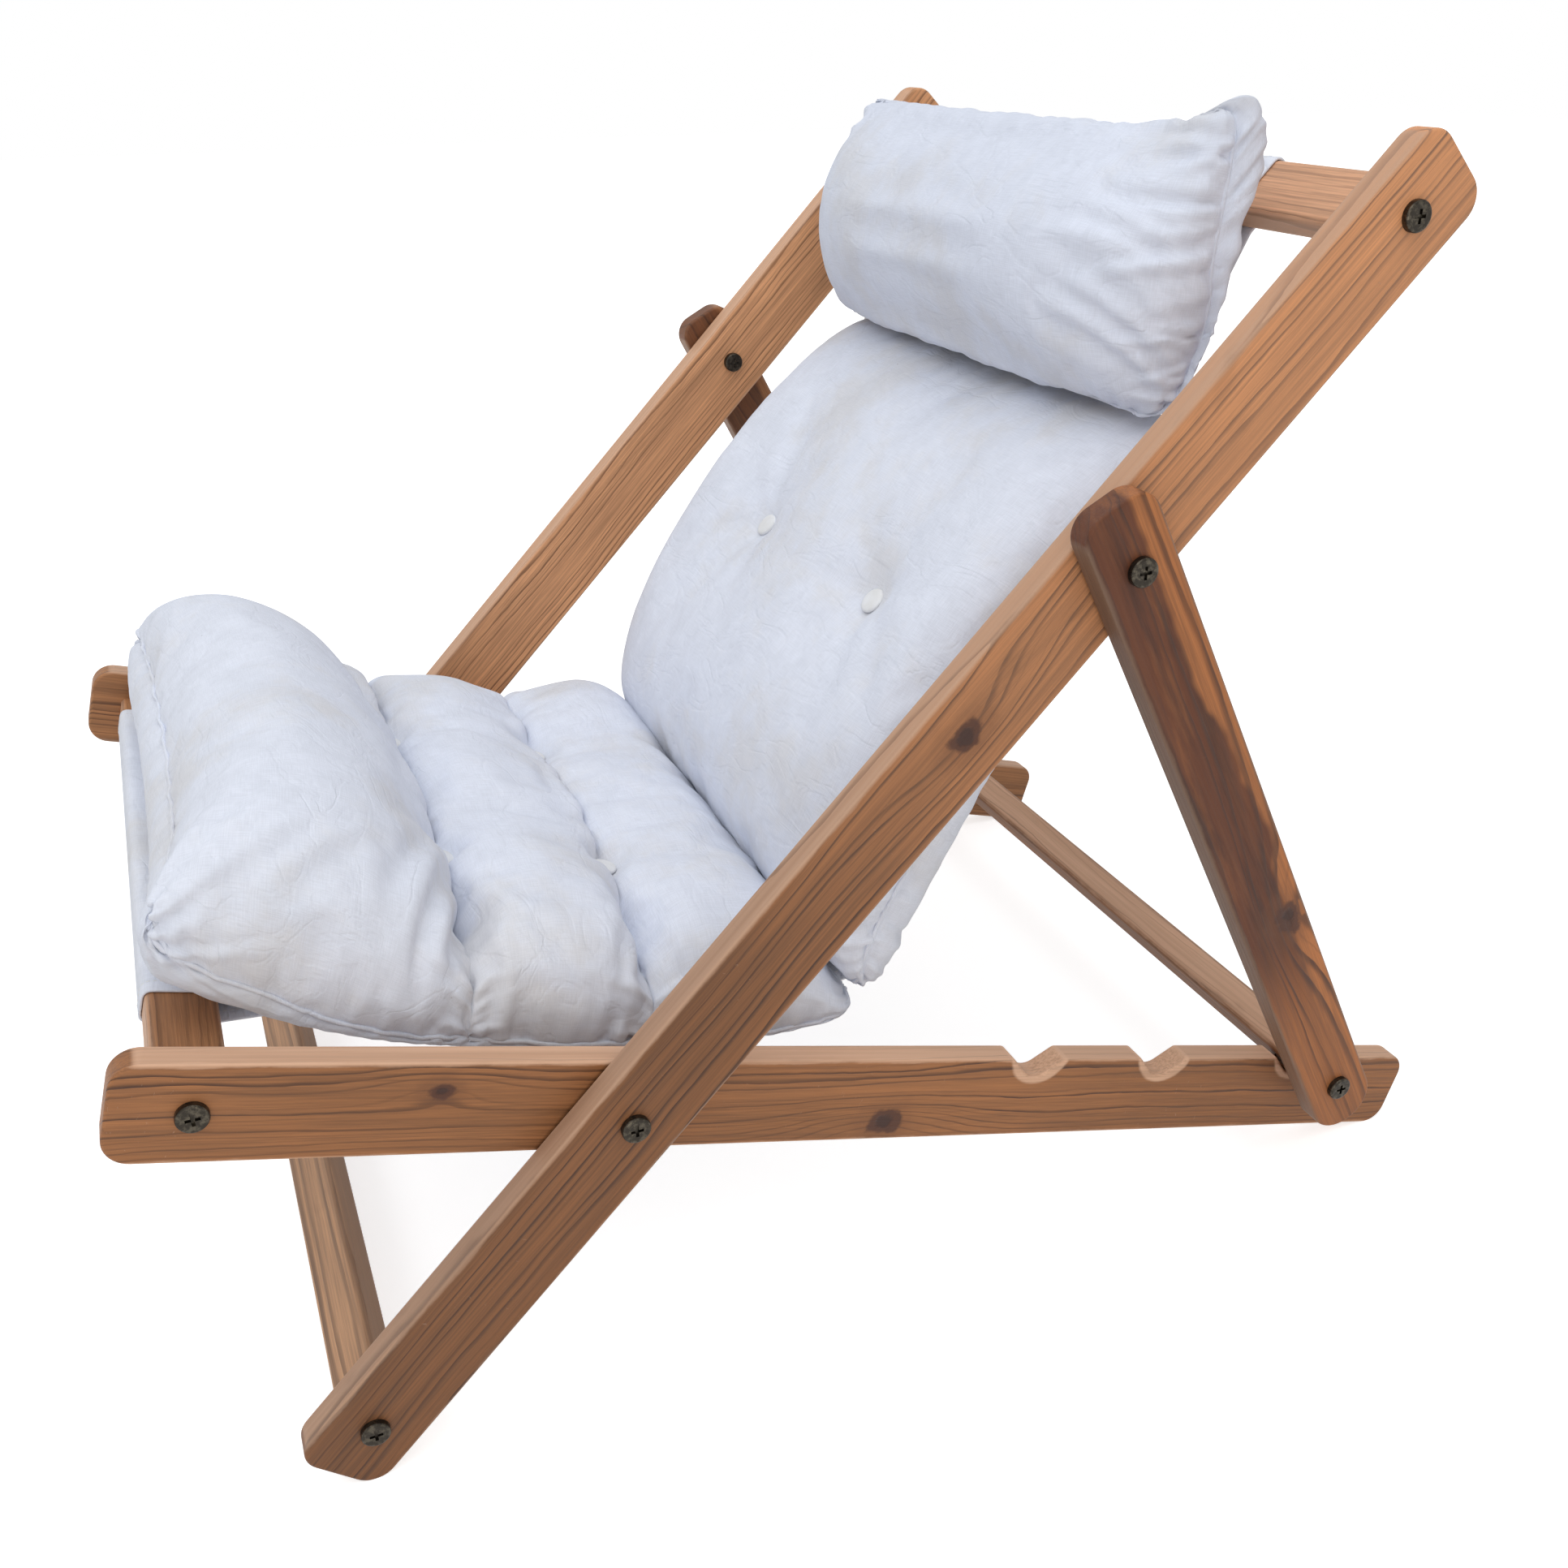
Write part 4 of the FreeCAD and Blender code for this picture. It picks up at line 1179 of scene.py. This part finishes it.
        small = pleats(cushion, np.random.default_rng(41), 17.0, (30, 85), depth)
        small += [((4, 8), (64, 66), 4.2, 4.5), ((10, 2), (96, 30), 4.0, 3.6), ((2, 26), (52, 104), 4.0, 3.6),
                  ((34, 0), (120, 62), 4.4, 3.0), ((18, 16), (44, 34), 3.4, 3.4),
                  ((40, 40), (130, 120), 4.6, 2.4)]
        canvas = canvas_material("seat canvas")
        piece = finish_cushion(cushion, points, pins, canvas, pressure=2.5, grow=0.03, cap=16, folds=small)
        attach(piece, "seat_frame")
        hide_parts("seat_cushion")
        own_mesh(piece)
        return {"FINISHED"}


class CHAIR_OT_back_cushion(bpy.types.Operator):
    """Make the back cushion with its two buttoned dimples"""
    bl_idname = "chair.back_cushion"
    bl_label = "Back cushion"
    bl_options = {"REGISTER", "UNDO"}

    def execute(self, context):
        sections = [
            ([(138, -160), (141, -128), (152, -100), (172, -76), (215, -52), (280, -28), (350, -14), (420, -8),
              (500, -13), (550, -22), (585, -34), (606, -50)],
             [(138, -160), (160, -132), (220, -112), (300, -92), (400, -73), (500, -60), (580, -54),
              (606, -50)],
             [(138, -160), (165, -175), (220, -164), (300, -142), (400, -113), (500, -82), (575, -57),
              (606, -50)]),
        ]
        cushion = Cushion("back_cushion_cover", POST, sections, 266, (46, 40), (12.0, 9.0))
        points = cushion.shape()
        pins, top = cushion.held(0.9, 0.35)
        cushion.gather(points, 1.3, 23)
        for side in BUTTON_SIDES:
            aside, ahead = points[:, 0] - side, points[:, 1] - BACK_BUTTONS
            away, turn = np.hypot(aside, ahead), np.arctan2(ahead, aside)
            dimple = 15 * hump(away, 60) + 10 * hump(away, 22)
            dimple += 2.2 * fold_in(away, 24.0) * np.cos(7 * turn + 1.3 + side)
            points[:, 2] -= np.where(top, dimple, 0)
            pins = np.maximum(pins, top * (away < 11))

        def depth(spot):
            return 1.4 + 2.4 * hump(spot, 150)

        small = pleats(cushion, np.random.default_rng(43), 15.0, (25, 80), depth)
        canvas = canvas_material("back canvas")
        piece = finish_cushion(cushion, points, pins, canvas, pressure=2.5, grow=0.02, cap=14, folds=small,
                               far_share=0.5, under_share=0.9)
        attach(piece, "back_frame")
        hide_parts("back_cushion")
        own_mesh(piece)
        return {"FINISHED"}


class CHAIR_OT_buttons(bpy.types.Operator):
    """Sew a covered button into each dimple of the seat and back cushions"""
    bl_idname = "chair.buttons"
    bl_label = "Buttons"
    bl_options = {"REGISTER", "UNDO"}

    def execute(self, context):
        profile = [(0, 0), (9.6, 0), (10.7, 0.7), (11, 2.0), (10.5, 3.2), (9.2, 3.9), (6, 4.3), (0, 4.5)]
        sides = 32
        verts, faces = [(0, 0, 0)], []
        for radius, high in profile[1:-1]:
            for turn in np.linspace(0, 2 * math.pi, sides, endpoint=False):
                verts.append((radius * MM * math.cos(turn), radius * MM * math.sin(turn), high * MM))
        verts.append((0, 0, profile[-1][1] * MM))
        rings = len(profile) - 2
        for k in range(sides):
            after = (k + 1) % sides
            faces.append([0, 1 + after, 1 + k])
            for r in range(rings - 1):
                low, high = 1 + r * sides, 1 + (r + 1) * sides
                faces.append([low + k, low + after, high + after, high + k])
            last = 1 + (rings - 1) * sides
            faces.append([last + k, last + after, len(verts) - 1])
        pattern = add_object("button pattern", verts, faces)
        smooth(pattern)
        cover = button_material()
        for node, line, body, press in (("seat_buttons", RAIL, "seat_frame", SEAT_PRESS),
                                        ("back_buttons", POST, "back_frame", BACK_PRESS)):
            spots = button_spots(node, line)
            piece = add_object(node.replace("buttons", "button_covers"), spots, [])
            turn = Matrix((ACROSS, line.along, line.above)).transposed().to_euler()
            repeat(piece, "Button row", {"Piece": pattern, "Turn": turn, "Material": cover})
            smooth(piece)
            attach(piece, body)
            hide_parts(node)
            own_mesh(piece)
        bpy.data.objects.remove(pattern)
        return {"FINISHED"}


class CHAIR_OT_sling(bpy.types.Operator):
    """Hang the canvas sling between the front rail and the top rail, with its hems and stitches"""
    bl_idname = "chair.sling"
    bl_label = "Canvas sling"
    bl_options = {"REGISTER", "UNDO"}

    def execute(self, context):
        path, inner = sling_path(2.5)
        run = lengths(path)
        low, high = SLING_SIDES
        step, half_thick, half_hem, half_edge = 0.8, 0.8, 1.0, 0.55
        x = np.concatenate([[low, low + step, low + HEM - step, low + HEM],
                            np.linspace(low + HEM, high - HEM, 15)[1:-1],
                            [high - HEM, high - HEM + step, high - step, high]])
        thick = np.full(len(x), half_thick)
        thick[[1, 2, -3, -2]] = half_hem
        thick[[0, -1]] = half_edge
        rows, columns = len(path), len(x)
        verts = np.zeros((2, rows, columns, 3))
        for face, sign in enumerate((1, -1)):
            verts[face, :, :, 0] = x[None, :] * MM
            verts[face, :, :, 1:] = path[:, None, :] + sign * MM * thick[None, :, None] * inner[:, None, :]
        index = np.arange(verts.size // 3).reshape(2, rows, columns)
        faces, uvs = [], []

        def patch(corners):
            faces.append([int(index[c]) for c in corners])
            uvs.extend((x[c[2]] * MM, run[c[1]]) for c in corners)

        last, end = columns - 1, rows - 1
        for i in range(end):
            for j in range(last):
                patch([(0, i, j), (0, i, j + 1), (0, i + 1, j + 1), (0, i + 1, j)])
                patch([(1, i, j), (1, i + 1, j), (1, i + 1, j + 1), (1, i, j + 1)])
            patch([(0, i, 0), (0, i + 1, 0), (1, i + 1, 0), (1, i, 0)])
            patch([(0, i, last), (1, i, last), (1, i + 1, last), (0, i + 1, last)])
        for j in range(last):
            patch([(0, 0, j), (1, 0, j), (1, 0, j + 1), (0, 0, j + 1)])
            patch([(0, end, j), (0, end, j + 1), (1, end, j + 1), (1, end, j)])
        canvas = canvas_material("sling canvas", (1.0, 0.99, 0.97), 1.5)
        sling = add_object("sling_sheet", verts.reshape(-1, 3), faces, canvas)
        lay_cloth(sling, uvs)
        smooth(sling)

        lines, edges = [], []

        def stitch_line(points):
            edges.extend((len(lines) + k, len(lines) + k + 1) for k in range(len(points) - 1))
            lines.extend(tuple(p) for p in points)

        for sign in (1, -1):
            lifted = path + sign * 1.05 * MM * inner
            for side in (low + HEM - 3, high - HEM + 3):
                stitch_line([(side * MM, y, z) for y, z in lifted[8:-8]])
            for spot in LOOP_SEAMS:
                row = int(np.searchsorted(run, spot * MM if spot > 0 else run[-1] + spot * MM))
                y, z = path[row] + sign * 0.9 * MM * inner[row]
                stitch_line([(side * MM, y, z) for side in np.arange(low + 4, high - 3, 4)])
        threads = add_object("sling_stitches", lines, [])
        threads.data.edges.add(len(edges))
        threads.data.edges.foreach_set("vertices", np.array(edges).ravel())
        repeat(threads, "Stitch row", {
            "Gap": 0.0042, "Length": 0.0030, "Width": 0.0005, "Material": thread_material()})
        smooth(threads)

        for piece in (sling, threads):
            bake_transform(piece)
        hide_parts("canvas_sling")
        return {"FINISHED"}


class CHAIR_OT_head_pillow(bpy.types.Operator):
    """Make the head pillow that lies against the top rail"""
    bl_idname = "chair.head_pillow"
    bl_label = "Head pillow"
    bl_options = {"REGISTER", "UNDO"}

    def execute(self, context):
        sections = [
            ([(733, 84), (722, 100), (698, 110), (662, 111), (628, 101), (601, 81), (583, 54), (575, 24),
              (577, -3), (588, -22)],
             [(733, 84), (724, 66), (704, 46), (682, 28), (664, 8), (640, -8), (604, -20), (588, -22)],
             [(733, 84), (751, 66), (755, 40), (744, 23), (715, 17), (680, 7), (640, -6), (608, -17),
              (588, -22)]),
        ]
        cushion = Cushion("head_pillow_cover", POST, sections, 260, (34, 34), (6.0, 5.0), (5.0, 12.0), 0.66)
        points = cushion.shape()
        pins, _ = cushion.held(0.6, 0.3)
        luck = np.random.default_rng(5)
        folds = [((264, s), (264 - luck.uniform(45, 105), s - luck.uniform(2, 16)),
                  luck.uniform(3.6, 5.5), luck.uniform(2.4, 4.6))
                 for s in (738, 724, 709, 697, 684, 668, 655, 640, 622, 606)]
        folds += [((-262, s), (-262 + luck.uniform(30, 60), s - 6), 5.0, 1.8) for s in (725, 700, 680, 655)]
        cushion.draw_corners(points, 738, 672, 24, 22, 7, 0.25)
        cushion.gather(points, 1.1, 37, (), folds)
        small = pleats(cushion, luck, 14.0, (35, 95), lambda spot: 3.2 - 1.2 * spot / cushion.run[-1])
        canvas = canvas_material("pillow canvas", (0.94, 0.95, 0.97))
        piece = finish_cushion(cushion, points, pins, canvas, pressure=2.0, grow=0.0, cap=8, folds=small)
        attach(piece, "back_frame")
        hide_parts("head_pillow")
        return {"FINISHED"}


# The photograph's camera: its place, its directions to the right and ahead, and its sensor in millimetres
CAMERA_PLACE = Vector((1.10280, -0.41048, 0.89271))
CAMERA_RIGHT = Vector((0.39159, 0.92011, -0.00706))
CAMERA_AHEAD = Vector((-0.82000, 0.34548, -0.45634))
CAMERA_SENSOR = 36.0
FLOOR_REACH = 12.0
LAMP_AIM = Vector((0, 0, 0.35))


def seen_rays(n):
    """One for rays that show the background, straight or by way of metal or glass, and else nothing."""
    path = n.add("ShaderNodeLightPath").outputs
    straight = n.math("MAXIMUM", path["Is Camera Ray"], path["Is Glossy Ray"])
    return n.math("MAXIMUM", straight, path["Is Transmission Ray"])


class CHAIR_OT_stage(bpy.types.Operator):
    """Set up the floor, the lamps and the camera"""
    bl_idname = "chair.stage"
    bl_label = "Stage"
    bl_options = {"REGISTER", "UNDO"}

    def execute(self, context):
        stage = look("stage")
        scene = context.scene
        scene.view_settings.view_transform = "Standard"
        size = FLOOR_REACH
        corners = [(-size, -size, 0), (size, -size, 0), (size, size, 0), (-size, size, 0)]
        floor = add_object("floor", corners, [[0, 1, 2, 3]])
        material, n, shader = new_material("pale floor")
        shader.inputs["Base Color"].default_value = rgba(stage.floor)
        shader.inputs["Roughness"].default_value = 0.9
        shader.inputs["Specular IOR Level"].default_value = 0.0
        shader.inputs["Emission Color"].default_value = (1, 1, 1, 1)
        spot = n.add("ShaderNodeTexCoord").outputs["Object"]
        lift = n.step(n.vector("LENGTH", spot), 0.7, 2.6, 0.60, 1.0)
        n.feed(shader.inputs["Emission Strength"], n.times(seen_rays(n), lift))
        floor.data.materials.append(material)

        world = bpy.data.worlds.new("Studio")
        world.use_nodes = True
        world.node_tree.nodes.clear()
        n = Nodes(world.node_tree)
        sky = n.add("ShaderNodeBackground", {"Color": (1, 1, 1, 1)})
        glow = n.add("ShaderNodeMix", {0: seen_rays(n), 2: stage.fill, 3: 1.0})
        n.feed(sky.inputs["Strength"], glow.outputs[0])
        n.tree.links.new(sky.outputs[0], n.add("ShaderNodeOutputWorld").inputs["Surface"])
        scene.world = world

        for name, power, colour, spread, spot in (
            ("key lamp", stage.key, (0.96, 0.98, 1.0), 4.0, (0.2, -0.7, 2.8)),
            ("side lamp", stage.key * 0.26, (1.0, 0.95, 0.88), 1.8, (2.2, -0.6, 0.9)),
        ):
            lamp = bpy.data.lights.new(name, "AREA")
            lamp.shape = "DISK"
            lamp.size = spread
            lamp.energy = power
            lamp.color = colour
            holder = bpy.data.objects.new(name, lamp)
            holder.location = spot
            holder.rotation_euler = (LAMP_AIM - Vector(spot)).to_track_quat("-Z", "Y").to_euler()
            scene.collection.objects.link(holder)

        camera = bpy.data.cameras.new("photo camera")
        camera.lens = stage.lens
        camera.sensor_width = CAMERA_SENSOR
        camera.clip_start = 0.05
        holder = bpy.data.objects.new("photo camera", camera)
        up = CAMERA_RIGHT.cross(CAMERA_AHEAD)
        turn = Matrix((CAMERA_RIGHT, up, -CAMERA_AHEAD)).transposed()
        holder.matrix_world = Matrix.Translation(CAMERA_PLACE) @ turn.to_4x4()
        scene.collection.objects.link(holder)
        scene.camera = holder
        return {"FINISHED"}


class CHAIR_PT_sidebar(bpy.types.Panel):
    bl_idname = "CHAIR_PT_sidebar"
    bl_label = "Lounge chair"
    bl_space_type = "VIEW_3D"
    bl_region_type = "UI"
    bl_category = "Lounge chair"

    def draw(self, context):
        for name, steps in GROUPS.items():
            box = self.layout.box()
            group = look(name)
            for prop in group.bl_rna.properties:
                if prop.identifier not in ("rna_type", "name"):
                    box.prop(group, prop.identifier)
            for step in steps:
                box.operator(step.bl_idname)


GROUPS = {
    "wood": (CHAIR_OT_wood,),
    "metal": (CHAIR_OT_metal,),
    "cloth": (CHAIR_OT_sling, CHAIR_OT_seat_cushion, CHAIR_OT_back_cushion, CHAIR_OT_head_pillow,
              CHAIR_OT_buttons),
    "stage": (CHAIR_OT_stage,),
}
SETTINGS = {"wood": ChairWood, "metal": ChairMetal, "cloth": ChairCloth, "stage": ChairStage}
STEPS = [step for steps in GROUPS.values() for step in steps]


def register():
    for made in (*SETTINGS.values(), *STEPS, CHAIR_PT_sidebar):
        bpy.utils.register_class(made)
    for name, made in SETTINGS.items():
        setattr(bpy.types.Scene, "chair_" + name, bpy.props.PointerProperty(type=made))


def unregister():
    for name in SETTINGS:
        delattr(bpy.types.Scene, "chair_" + name)
    for made in (CHAIR_PT_sidebar, *reversed(STEPS), *reversed(SETTINGS.values())):
        bpy.utils.unregister_class(made)


def main():
    register()
    for step in STEPS:
        group, name = step.bl_idname.split(".")
        getattr(getattr(bpy.ops, group), name)()


if __name__ == "__main__":
    main()
